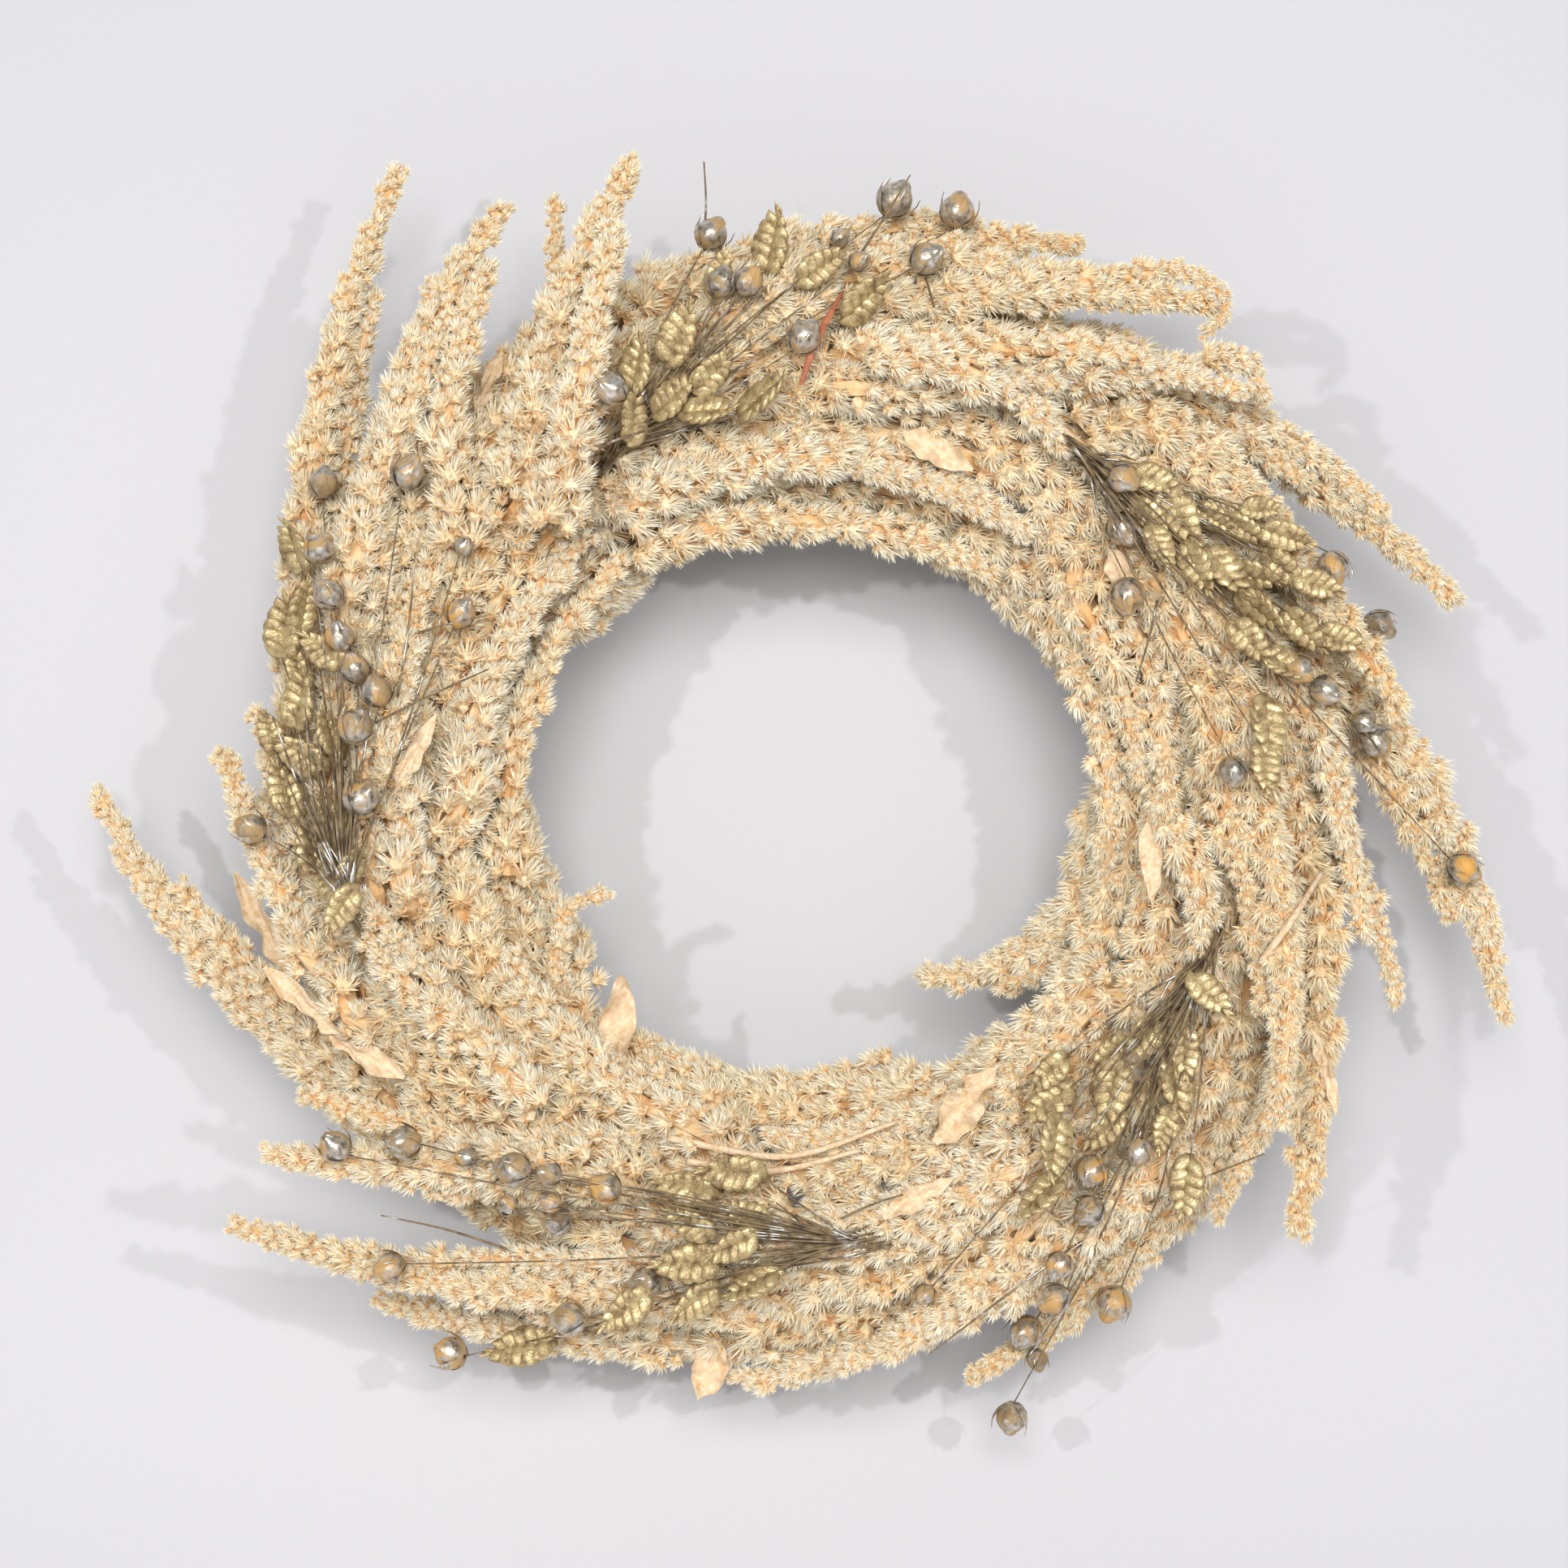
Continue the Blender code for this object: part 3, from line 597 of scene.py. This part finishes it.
def plume_parts(index, plume):
    """A core, and clusters of pointed bracts that lean towards the tip, where they aren't buried."""
    rng, curve, radii = plume.rng, plume.curve, plume.radii
    parts = [core_tube(rng, curve[::2], radii[::2] * CORE, min(plume.tint + 0.15, 0.98))]
    tangents, first, second = frames_along(curve)
    spacing = CLUSTER_SPACING * np.clip(radii / (6.5 * MM), 0.6, 1)
    per_step = 2 * math.pi * 0.82 * radii * plume.length / len(curve) / (0.85 * spacing ** 2)
    weight = np.cumsum(per_step)
    count = max(int(weight[-1]), 8)
    where = np.interp((np.arange(count) + 0.5) / count, weight / weight[-1], np.arange(len(curve)))
    row = np.clip(where.astype(int), 0, len(curve) - 2)
    share = (where - row)[:, None]

    def at(rows):
        return rows[row] * (1 - share) + rows[row + 1] * share

    angle = np.arange(count) * GOLDEN_ANGLE + rng.uniform(-0.35, 0.35, count)
    along = unit(at(tangents))
    out = unit(at(first) * np.cos(angle)[:, None] + at(second) * np.sin(angle)[:, None])
    fat = at(radii[:, None])[:, 0]
    size = np.clip(fat * 0.52, 1.8 * MM, 3.7 * MM) * (0.8 + 0.65 * rng.random(count) ** 1.5)
    thin = np.clip(1 - fat / (7 * MM), 0, 1)
    lean = (rng.uniform(0.35, 0.9, count) + 0.9 * thin)[:, None]
    heading = unit(out + along * lean + rng.normal(0, 0.15, (count, 3)))
    centres = at(curve) + out * (fat * rng.uniform(0.42, 0.82, count) * (1 - 0.45 * thin))[:, None]
    kept = ~buried(index, centres + heading * size[:, None] * 0.5, COVERED) & (centres[:, 1] < BACK_LIMIT)
    centres, heading, size, along = centres[kept], heading[kept], size[kept], along[kept]
    if not len(centres):
        return parts
    tints = np.clip(plume.tint + rng.normal(0, 0.16, len(centres)), 0.01, 0.99)
    tones = rng.uniform(0.34, 0.50, len(centres))
    parts.append(blobs(rng, centres, heading, size * 0.5, tones, tints))

    total = len(centres) * BRACTS
    middle, axis = np.repeat(centres, BRACTS, axis=0), np.repeat(heading, BRACTS, axis=0)
    fan = rng.normal(size=(total, 3))
    fan = unit(fan - axis * (fan * axis).sum(1, keepdims=True))
    skirt = rng.uniform(0, 1, total)     # 0 at a cluster's top, 1 round its underside
    tilt = np.arccos(1 - 1.15 * skirt)
    axes = axis * np.cos(tilt)[:, None] + fan * np.sin(tilt)[:, None]
    grown = np.repeat(size, BRACTS)
    feet = middle + axes * (grown * rng.uniform(0.3, 0.55, total))[:, None]
    reach = grown * rng.uniform(0.86, 1.18, total)
    swept = np.repeat(along, BRACTS, axis=0) * 0.45 + axis * 0.1
    tips = middle + axes * reach[:, None] + swept * (grown * rng.uniform(0.3, 1.0, total))[:, None]
    widths = rng.uniform(0.30, 0.54, total) * MM * np.clip(grown / (3.0 * MM), 0.7, 1.1)
    # Bracts round a cluster's underside take darker, warmer foot and tip tones: painted shade in the
    # creases between clusters, over each bract's own darker foot.
    low = np.clip(0.50 - 0.42 * skirt + rng.normal(0, 0.06, total), 0.02, 0.8)
    high = np.clip(1.02 - 0.56 * skirt ** 2 + rng.normal(0, 0.09, total), 0.2, 0.99)
    shade = np.clip(np.repeat(tints, BRACTS) + rng.normal(0, 0.06, total), 0.01, 0.99)
    parts.append(spikes(rng, feet, tips, widths, (low, high), shade))
    return parts


def stacked(parts):
    """Several (points, faces, map) parts as one."""
    return *together(parts), np.vstack([part[2] for part in parts])


def make_plumes():
    finish = plume_material()
    parts = [[] for _ in SPRAY_NODES]
    for index, plume in enumerate(PLUMES):
        parts[plume.owner] += plume_parts(index, plume)
    for node, made in zip(SPRAY_NODES, parts):
        name = node + "_plumes"
        add_piece(name, mesh_from_arrays(name, *stacked(made)), [finish], [node])


# ------ small shapes

def tube_part(points, radii, sides, steps):
    """A round tube through points, closed at both ends. Returns points and faces."""
    curve, fat = smooth_curve(points, radii, steps)
    rings, faces = tube_wall(curve, fat[:, None], sides)
    last = len(rings) - sides
    for side in range(1, sides - 1):
        faces += [(0, side + 1, side), (last, last + side, last + side + 1)]
    return rings, np.array(faces)


def grid_part(rows):
    """A sheet through rows of points."""
    rows = np.asarray(rows)
    count = rows.shape[1]
    faces = []
    for row in range(len(rows) - 1):
        for column in range(count - 1):
            a = row * count + column
            faces += [(a, a + 1, a + count + 1), (a, a + count + 1, a + count)]
    return rows.reshape(-1, 3), np.array(faces)


def placed(part, origin, along, front):
    """Moves a part built along +X with its front towards +Z to a place in the wreath."""
    x = unit(np.asarray(along, float))
    z = np.asarray(front, float)
    z = unit(z - x * z.dot(x))
    turn = np.stack([x, np.cross(z, x), z])
    return part[0] @ turn + np.asarray(origin), part[1]


def ball_part(segments, rings, shape):
    """A ball whose radius at each direction comes from shape(azimuth, height)."""
    points = [(0, 0, -shape(0, -1))]
    for ring in range(1, rings):
        rise = -math.cos(math.pi * ring / rings)
        wide = math.sqrt(1 - rise * rise)
        for segment in range(segments):
            azimuth = 2 * math.pi * segment / segments
            radius = shape(azimuth, rise)
            across = radius * wide
            points.append((across * math.cos(azimuth), across * math.sin(azimuth), radius * rise))
    points.append((0, 0, shape(0, 1)))
    faces = []
    for segment in range(segments):
        after = (segment + 1) % segments
        faces.append((0, 1 + after, 1 + segment))
        for ring in range(rings - 2):
            a, b = 1 + ring * segments + segment, 1 + ring * segments + after
            faces += [(a, b, b + segments), (a, b + segments, a + segments)]
        last = 1 + (rings - 2) * segments
        faces.append((len(points) - 1, last + segment, last + after))
    return np.array(points)[:, [2, 1, 0]] * (1, -1, 1), np.array(faces)


def capsule_part():
    """A flax seed capsule of 1 mm radius along +X: five ribs, a short beak and five pointed sepals."""
    def shape(azimuth, rise):
        rib = 0.075 * abs(math.cos(2.5 * azimuth)) ** 0.5
        beak = 0.28 * max(0.0, rise - 0.86) / 0.14
        return (0.97 + rib) * (1 - 0.06 * (rise < -0.8)) + beak
    parts = [ball_part(30, 18, shape)]
    for index in range(5):
        azimuth = (index + 0.5) * 72 * DEGREE
        rows = []
        for step in range(7):
            share = step / 6
            polar_angle = (8 + 118 * share) * DEGREE
            away = 1.07 + 0.42 * share ** 3
            half = 0.34 * math.sin(math.pi * min(0.15 + share, 1.0)) ** 0.7 + 0.005
            row = []
            for side in (-1, 0, 1):
                turned = azimuth + side * half / max(math.sin(polar_angle), 0.35)
                lift = away + 0.06 * (side == 0)
                across = lift * math.sin(polar_angle)
                row.append((-lift * math.cos(polar_angle), across * math.cos(turned),
                            across * math.sin(turned)))
            rows.append(row)
        parts.append(grid_part(rows))
    return together(parts)


def turn_about(axis, degrees):
    """A turn for rows of points."""
    return np.array(Matrix.Rotation(degrees * DEGREE, 3, axis)).T


def spikelet_part():
    """A quaking-grass spikelet 1 long along +X: two rows of flat scales that overlap to a point."""
    scales = 6
    grain = ball_part(14, 8, lambda azimuth, rise: 1 + 0.22 * max(math.cos(azimuth), 0) ** 2)
    parts = []
    for row in range(scales):
        share = row / (scales - 1)
        outline = math.sin(math.pi * (0.20 + 0.78 * share)) ** 0.8 * (1 - 0.30 * share)
        for side in (-1, 1):
            at = -0.40 + 0.78 * (share + (0.5 / scales if side > 0 else 0))
            points = grain[0] * (0.150 + 0.02 * outline, 0.135 * outline + 0.02, 0.050 * outline + 0.015)
            points = points @ turn_about("Y", -24) @ turn_about("Z", (34 - 24 * share) * side)
            parts.append((points + (at, side * 0.098 * outline, 0.016 * side), grain[1]))
    return together(parts)


CAPSULE = capsule_part()
SPIKELET = spikelet_part()
POD_RADIUS = 4.1 * MM
SPIKELET_LENGTH = 16 * MM

# Tie, grass heads and pods of each sprig: clock angle and millimetres out from the frame's
# middle radius. The third number of a head or a pod is its size against the usual one.
SPRIGS = (
    ((332, -7),
     ((356, 34, 1), (344, 13, 1.15), (338, 9, 0.9), (6, 18, 1), (353, -7, 1), (341, -2, 0.9),
      (347, 1, 0.8), (335, -3, 0.8), (1, 26, 0.9), (350, 26, 0.9), (345, -8, 0.8)),
     ((350, 41, 1), (350, 24, 0.9), (8, 49, 1.1), (14, 49, 1.05), (12, 31, 1), (359, 7, 1),
      (353, 23, 0.9), (334, 3, 0.9), (3, 37, 0.6), (5, 28, 0.6))),
    ((39, 1),
     ((52, 8, 1), (59, 4, 0.9), (63, 16, 1), (71, 23, 0.9), (81, 6, 1), (55, 15, 0.8), (58, 20, 0.8),
      (61, 10, 0.9), (64, 24, 0.9), (67, 14, 0.9), (67, 30, 0.8), (70, 8, 0.9), (50, 2, 0.8),
      (54, -1, 0.8), (61, 28, 0.8), (74, 15, 0.9), (73, 31, 0.8), (57, 26, 0.7), (86, 4, 0.9),
      (47, 9, 0.8)),
     ((49, -5, 1), (57, -14, 1), (66, 36, 0.95), (84, 38, 1), (86, -4, 0.8), (96, 62, 1),
      (73, 47, 0.95), (75, 18, 0.9), (78, 24, 0.9), (82, 35, 0.7), (44, 3, 0.9))),
    ((112, -3),
     ((128, 8, 1), (134, -4, 1), (142, -12, 1), (150, 5, 1), (136, 27, 1), (126, -6, 0.9),
      (124, 4, 0.9), (131, -10, 0.9), (138, 2, 0.9), (145, -4, 0.9), (133, 13, 0.8), (139, -18, 0.8),
      (116, 1, 0.8)),
     ((130, -4, 1.05), (146, 16, 0.9), (158, 41, 1), (149, 44, 1.05), (162, 62, 0.95), (167, 20, 0.6),
      (137, 12, 0.8), (143, 8, 0.9), (154, 32, 0.9), (152, 24, 0.8), (158, 49, 0.65))),
    ((174, 2),
     ((187, 13, 0.9), (192, -13, 1), (198, -6, 0.9), (195, 11, 1), (200, 28, 1), (190, 4, 0.9),
      (196, 1, 0.9), (193, 21, 0.9), (189, -4, 0.8), (208, 52, 1.25)),
     ((234, 37, 0.9), (230, 23, 1), (219, 8, 1), (208, 0, 0.9), (205, 36, 1), (213, 64, 1),
      (217, 17, 0.6), (213, 10, 0.6), (215, 4, 0.7), (199, 20, 0.9), (222, 51, 0.9), (211, 15, 0.8),
      (224, 14, 0.6))),
    ((258, 9),
     ((296, 40, 1), (288, 34, 1.1), (281, 24, 1), (275, 21, 1), (264, 18, 1), (260, 12, 0.9),
      (257, 10, 0.8), (287, 20, 0.8), (284, 27, 0.8), (262, 6, 0.8), (265, 12, 0.8), (278, 14, 0.9),
      (271, 25, 0.9), (268, 12, 0.8), (291, 30, 0.9), (277, 30, 0.8)),
     ((309, 22, 1), (303, 42, 0.9), (297, 31, 0.9), (298, -9, 0.9), (284, 3, 0.9), (267, 33, 0.9),
      (293, 23, 0.9), (289, 17, 0.9), (286, 11, 0.9), (279, 6, 1), (270, 3, 1.1), (306, -1, 0.6))),
)
# Bare stalks that stray from each flax sprig: clock angle and millimetres out at each end
WHISKERS = ((((349, 38), (350.5, 60)), ((5, 30), (9, 52)), ((14, 20), (10, 34))),
            (((80, 30), (88, 42)), ((60, -8), (70, -22))),
            (((140, 24), (128, 36)), ((150, 22), (168, 34))),
            (((176, -4), (167, -8)), ((214, 30), (226, 44))),
            (((290, 6), (300, -16)), ((280, 2), (292, -22)), ((284, -2), (302, 8))))
HEAD_REACH = 3 * MM             # radius with which a grass head rests on the plumes
STALK_REACH = 0.4 * MM          # the same for a bare stalk
HEAD_SINK = 1.2 * MM            # how far a head settles among the bracts
FOOT_SINK = 11 * MM             # how far a stalk's foot is buried in the plumes


def sprig_place(clock, out, reach):
    flat = polar(clock, MIDDLE_RADIUS + out * MM)
    flat.y = resting_depth(flat, reach) + HEAD_SINK
    return np.array(flat)


def sprig_stem(rng, tie, place, radius):
    """A thin stalk that bows a little, and stays on the front of the plumes."""
    points = []
    sideways = np.cross(unit(place - tie), (0, 1, 0)) * rng.uniform(-2.5, 2.5) * MM
    for share in (0.0, 0.12, 0.35, 0.65, 1.0):
        point = tie * (1 - share) + place * share + sideways * math.sin(math.pi * share)
        if share == 0:
            point = tie - unit(place - tie) * 3 * MM + (0, FOOT_SINK, 0)
        elif share < 1:
            point[1] = min(point[1] - 1.5 * MM * math.sin(math.pi * share),
                           resting_depth(point, radius) + 0.6 * MM)
        points.append(point)
    return tube_part(points, [radius * 1.3, radius * 1.2, radius, radius * 0.8, radius * 0.6], 5, 16)


def bare_stems(rng, tie, towards, count, lengths, spread):
    """The bundle of bare stalks that shows where a sprig leaves the plumes."""
    parts = []
    for _ in range(count):
        side = np.cross(towards, (0, 1, 0))
        turn = rng.normal(0, spread)
        heading = unit(towards + side * turn + (0, rng.uniform(-0.05, 0.25), 0))
        length = rng.uniform(*lengths)
        foot = tie - towards * rng.uniform(2, 12) * MM + side * rng.normal(0, 1.2) * MM
        out = foot + towards * rng.uniform(4, 9) * MM
        out[1] = resting_depth(out, STALK_REACH) + rng.uniform(-0.8, 1.2) * MM
        end = foot + heading * length
        end[1] = min(end[1], resting_depth(end, STALK_REACH))
        middle = (out + end) / 2 + side * rng.normal(0, 1) * MM
        middle[1] = min(middle[1], resting_depth(middle, STALK_REACH)) - 0.5 * MM
        radius = rng.uniform(0.24, 0.42) * MM
        foot[1] += FOOT_SINK
        girths = [radius * 1.2, radius * 1.1, radius, radius * 0.5]
        parts.append(tube_part([foot, out, middle, end], girths, 5, 14))
    return parts


def slotted_mesh(name, groups):
    """One mesh from groups of parts, each group with the next material slot."""
    parts = [(part, slot) for slot, group in enumerate(groups) for part in group]
    points, faces = together([part for part, _ in parts])
    slots = np.concatenate([np.full(len(part[1]), slot) for part, slot in parts])
    return mesh_from_arrays(name, points, faces, slots=slots, smooth=True)


RUST_BLADE = ((358.5, -5), (0.5, 6), (3.5, 20))     # clock angle and millimetres out


def rust_blade():
    """The one red-brown blade of grass, folded along its middle."""
    places = [sprig_place(clock, out, 1.5 * MM) for clock, out in RUST_BLADE]
    line, _ = smooth_curve(places, (0, 0, 0), 16)
    rows = []
    for step, point in enumerate(line):
        half = 1.3 * MM * math.sin(math.pi * (0.06 + 0.9 * step / 15)) ** 0.6
        rows.append([point + (side * half, 0.8 * half * abs(side) - 1.5 * MM, 0.3 * side * half)
                     for side in (-1, 0, 1)])
    return grid_part(rows)


def make_sprigs():
    gilded, silver, stalk = gilded_material(), silver_material(), stem_material()
    for index, ((tie_clock, tie_out), grass, pods) in enumerate(SPRIGS):
        rng = np.random.default_rng(700 + index)
        tie = sprig_place(tie_clock, tie_out, HEAD_REACH)
        heads = [sprig_place(clock, out, HEAD_REACH) for clock, out, _ in grass]
        towards = np.mean(heads, axis=0) - tie
        towards[1] = 0
        towards = unit(towards)

        husks, stalks = [], bare_stems(rng, tie, towards, 12, (0.018, 0.046), 0.20)
        for (clock, out, size), place in zip(grass, heads):
            along = place - tie
            along[1] *= 0.3
            along = unit(along) + np.cross(unit(along), (0, 1, 0)) * rng.normal(0, 0.3)
            place = place - (0, rng.uniform(1.0, 4.0) * MM, 0)
            front = (rng.normal(0, 0.35), -1, rng.normal(0, 0.35))
            length = SPIKELET_LENGTH * size * rng.uniform(0.9, 1.1)
            squat = SPIKELET[0] * (length, length * 1.35, length * 1.1)
            husks.append(placed((squat, SPIKELET[1]), place, along, front))
            stalks.append(sprig_stem(rng, tie, place - unit(along) * length * 0.42, 0.32 * MM))
        node = f"quaking_grass_spray_{index + 1}"
        groups, finishes = [husks, stalks], [gilded, stalk]
        if index == 0:
            groups.append([rust_blade()])
            finishes.append(rust_material())
        name = node + "_gilded"
        add_piece(name, slotted_mesh(name, groups), finishes, [node])

        seeds, stalks = [], bare_stems(rng, tie, towards, 8, (0.02, 0.06), 0.18)
        for clock, out, size in pods:
            radius = POD_RADIUS * size
            place = sprig_place(clock, out, radius)
            place[1] -= rng.uniform(0, 1.5) * MM
            along = unit(place - tie)
            turn = (rng.normal(0, 0.35), rng.uniform(-0.9, 0.1), rng.normal(0, 0.35))
            along = unit(along + turn)
            seeds.append(placed((CAPSULE[0] * radius, CAPSULE[1]), place, along, (0, -1, 0.1)))
            stalks.append(sprig_stem(rng, tie, place - along * radius * 0.95, 0.30 * MM))
        for (clock, out), (far_clock, far_out) in WHISKERS[index]:
            foot, far = sprig_place(clock, out, 0.5 * MM), polar(far_clock, MIDDLE_RADIUS + far_out * MM)
            far = np.array([far.x, foot[1] - 2 * MM, far.z])
            points = [foot, (foot + far) / 2 + 0.6 * MM, far]
            stalks.append(tube_part(points, [0.35 * MM, 0.3 * MM, 0.2 * MM], 5, 10))
        node = f"flax_spray_{index + 1}"
        name = node + "_silvered"
        add_piece(name, slotted_mesh(name, (seeds, stalks)), [silver, stalk], [node])


# ------ leaves and bare stalks

# Clock angle, millimetres out, turn from the top, length, width and curl
LEAVES = ((20, -15, 118, 24, 10, 0.2), (256, 38, 150, 44, 9, 0.3), (153, -22, 40, 30, 13, 0.25),
          (220, -31, 8, 46, 12, 0.9))
# Further leaves, which the same pieces take in turn
MORE_LEAVES = ((322, 27, 205, 22, 6, 0.2), (248, 30, 130, 34, 8, 0.4), (100, -22, 178, 30, 7, 0.3),
               (55, -12, 150, 22, 9, 0.3), (240, 22, 300, 26, 8, 0.3), (190, 42, 200, 22, 12, 0.5),
               (276, -8, 210, 30, 6, 0.3), (118, 40, 165, 26, 5, 0.4), (165, -6, 60, 24, 8, 0.2))
# A thick bare stalk for each of the first pieces: clock angle and millimetres out of its points
BARE_STALKS = (((203, -16), (184, -18), (165, -24)), ((199, -12), (186, -14), (172, -19)),
               ((110, 10), (104, 14), (98, 22)))
LEAF_SINK = 1.2 * MM            # how far a leaf lies between the tufts


def leaf_part(rng, length, width, curl):
    """A thin crumpled leaf along +X, with a rib, a wavy edge and its far end curled over."""
    rows, columns = 30, 11
    grid = []
    waves = rng.uniform(0, 2 * math.pi, 4)
    twist_rate = rng.uniform(0.6, 1.6) * rng.choice((-1, 1))
    for row in range(rows):
        share = row / (rows - 1)
        half = width / 2 * math.sin(math.pi * min(max(share, 0.03), 0.985)) ** 0.75 * (1.1 - 0.4 * share)
        bend = curl * 3.2 * max(0.0, share - 0.55)
        reach = share if share < 0.55 else 0.55 + math.sin(bend) / 3.2 / max(curl, 0.1)
        rise = 0.0 if share < 0.55 else (1 - math.cos(bend)) / 3.2 / max(curl, 0.1)
        line = []
        for column in range(columns):
            side = 2 * column / (columns - 1) - 1
            ripple = abs(side) * (1.3 * math.sin(11 * share + waves[0] + 2 * side)
                                  + math.sin(23 * share + waves[1]))
            twist = (share - 0.4) * twist_rate
            fold = half * (0.35 * abs(side) + 0.40 * ripple + 0.12 * math.sin(7 * side + 9 * share))
            wide = side * half * (1 + 0.07 * math.sin(9 * share + waves[3])
                                  + 0.04 * math.sin(27 * share + side))
            line.append((length * (reach - 0.5), wide * math.cos(twist) - fold * math.sin(twist),
                         length * rise * 0.6 + fold * math.cos(twist) + wide * math.sin(twist)))
        grid.append(line)
    return grid_part(grid)


def make_leaves():
    paper = leaf_material()
    rng = np.random.default_rng(31)

    def leaf(row):
        clock, out, turn, length, width, curl = row
        place = sprig_place(clock, out, 1.0 * MM) + (0, LEAF_SINK, 0)
        along = np.array(polar(turn, 1.0) - CENTRE)
        front = (rng.normal(0, 0.35), -1, rng.normal(0, 0.35))
        return placed(leaf_part(rng, 0.85 * length * MM, 0.85 * width * MM, curl), place, along, front)

    for index, row in enumerate(LEAVES):
        node = f"dried_leaf_{index + 1}"
        parts = [leaf(row)] + [leaf(other) for other in MORE_LEAVES[index::len(LEAVES)]]
        if index < len(BARE_STALKS):
            points = [sprig_place(clock, out, 0.8 * MM) for clock, out in BARE_STALKS[index]]
            parts.append(tube_part(points, [1.0 * MM, 0.9 * MM, 0.6 * MM], 7, 16))
        mesh = slotted_mesh(node + "_paper", (parts,))
        add_piece(node + "_paper", mesh, [paper], [node])


# ------ frame and loop

def rounded(node, name, finish, swell, body="wreath"):
    """A rounder copy of a CAD wire, to show in its place. swell makes up for what rounding takes."""
    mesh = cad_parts[node].data.copy()
    mesh.materials.clear()
    work = bmesh.new()
    work.from_mesh(mesh)
    bmesh.ops.remove_doubles(work, verts=work.verts, dist=1e-6)
    bmesh.ops.dissolve_limit(work, angle_limit=0.5 * DEGREE, verts=work.verts, edges=work.edges)
    bmesh.ops.recalc_face_normals(work, faces=work.faces)
    for vertex in work.verts:
        vertex.co += vertex.normal * swell
    for face in work.faces:
        face.smooth = True
    work.to_mesh(mesh)
    work.free()
    piece = add_piece(name, mesh, [finish], [node], body)
    smooth = piece.modifiers.new("round", "SUBSURF")
    smooth.levels = smooth.render_levels = 2


def make_wires():
    coated = wire_material("green_coated_wire", srgb(26, 40, 28), srgb(52, 72, 50), 0.42, 0.35)
    binding = wire_material("green_binding_wire", srgb(34, 54, 36), srgb(84, 104, 74), 0.36, 0.6)
    bright = wire_material("galvanised_loop", srgb(138, 138, 136), srgb(192, 192, 188), 0.34, 1.0)
    for node in sorted(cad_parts):
        if node.startswith("frame_"):
            swell = 0.14 * MM if "ring" in node else 0.10 * MM
            rounded(node, node + "_wire", coated, swell)
    rounded("binding_wire", "binding_wire_turns", binding, 0.05 * MM)
    rounded("hanging_loop", "hanging_loop_wire", bright, 0.09 * MM, "hanging_loop")


# ------ stage

VIEW_WIDTH = 0.4057             # across the picture at the wreath
CAMERA_DISTANCE = 0.80
CAMERA_SENSOR = 36.0            # millimetres
SOFT_LIGHT = 0.030, 2.95        # side in metres and power in watts
FILL_LIGHT = 0.7, 16.5
WORLD_STRENGTH = 0.29


def make_camera():
    """Square on to the wreath, a little left of its middle."""
    data = bpy.data.cameras.new("camera")
    camera = new_object("camera", data)
    middle_depth = -0.03
    camera.location = CENTRE + Vector((-0.007, middle_depth - CAMERA_DISTANCE, 0.004))
    camera.rotation_euler = (90 * DEGREE, 0, 0)
    data.sensor_width = CAMERA_SENSOR
    data.lens = CAMERA_SENSOR * CAMERA_DISTANCE / VIEW_WIDTH
    bpy.context.scene.camera = camera


def make_backdrop():
    """A pale sheet that hangs as a wall and sweeps forward into a floor."""
    wall, top, bend, reach = 0.034, 0.9, 0.30, 1.6
    sweep_top = CENTRE.z - 0.085
    profile = [(wall, top)]
    for step in range(13):
        angle = step / 12 * 90 * DEGREE
        profile.append((wall - bend * (1 - math.cos(angle)), sweep_top - bend * math.sin(angle)))
    profile.append((wall - bend - reach, sweep_top - bend))
    half = 2.0
    points = [(side * half, depth, height) for depth, height in profile for side in (-1, 1)]
    faces = []
    for row in range(len(profile) - 1):
        a = 2 * row
        faces += [(a, a + 2, a + 3), (a, a + 3, a + 1)]
    mesh = mesh_from_arrays("backdrop", points, faces, smooth=True)
    sheet = new_object("backdrop", mesh)
    made = Nodes("backdrop_vinyl", 0.55)
    made.bump(made.noise(700, 2), 0.08, 0.0004)
    made.colour(made.ramp(made.noise(1.5, 2), (0.3, srgb(200, 199, 202)), (0.7, srgb(207, 206, 208))))
    made.one_sided()
    mesh.materials.append(made.material)


def make_light(name, place, size, power):
    """A square light that shines at the wreath's middle."""
    data = bpy.data.lights.new(name, "AREA")
    data.size = size
    data.energy = power
    light = new_object(name, data)
    light.location = place
    light.rotation_euler = (CENTRE - place).to_track_quat("-Z", "Y").to_euler()


def make_lights():
    make_light("soft_left", CENTRE + Vector((-0.54, -1.08, 0.19)), *SOFT_LIGHT)
    make_light("soft_right", CENTRE + Vector((0.54, -1.08, 0.19)), *SOFT_LIGHT)
    make_light("front_fill", CENTRE + Vector((0, -1.6, 0.35)), *FILL_LIGHT)
    world = bpy.data.worlds.new("studio")
    world.use_nodes = True
    background = world.node_tree.nodes["Background"].inputs
    background["Color"].default_value = (1, 1, 1, 1)
    background["Strength"].default_value = WORLD_STRENGTH
    bpy.context.scene.world = world
    bpy.context.scene.view_settings.view_transform = "Standard"


# ------ whole

make_camera()
make_backdrop()
make_lights()
make_plumes()
make_sprigs()
make_leaves()
make_wires()
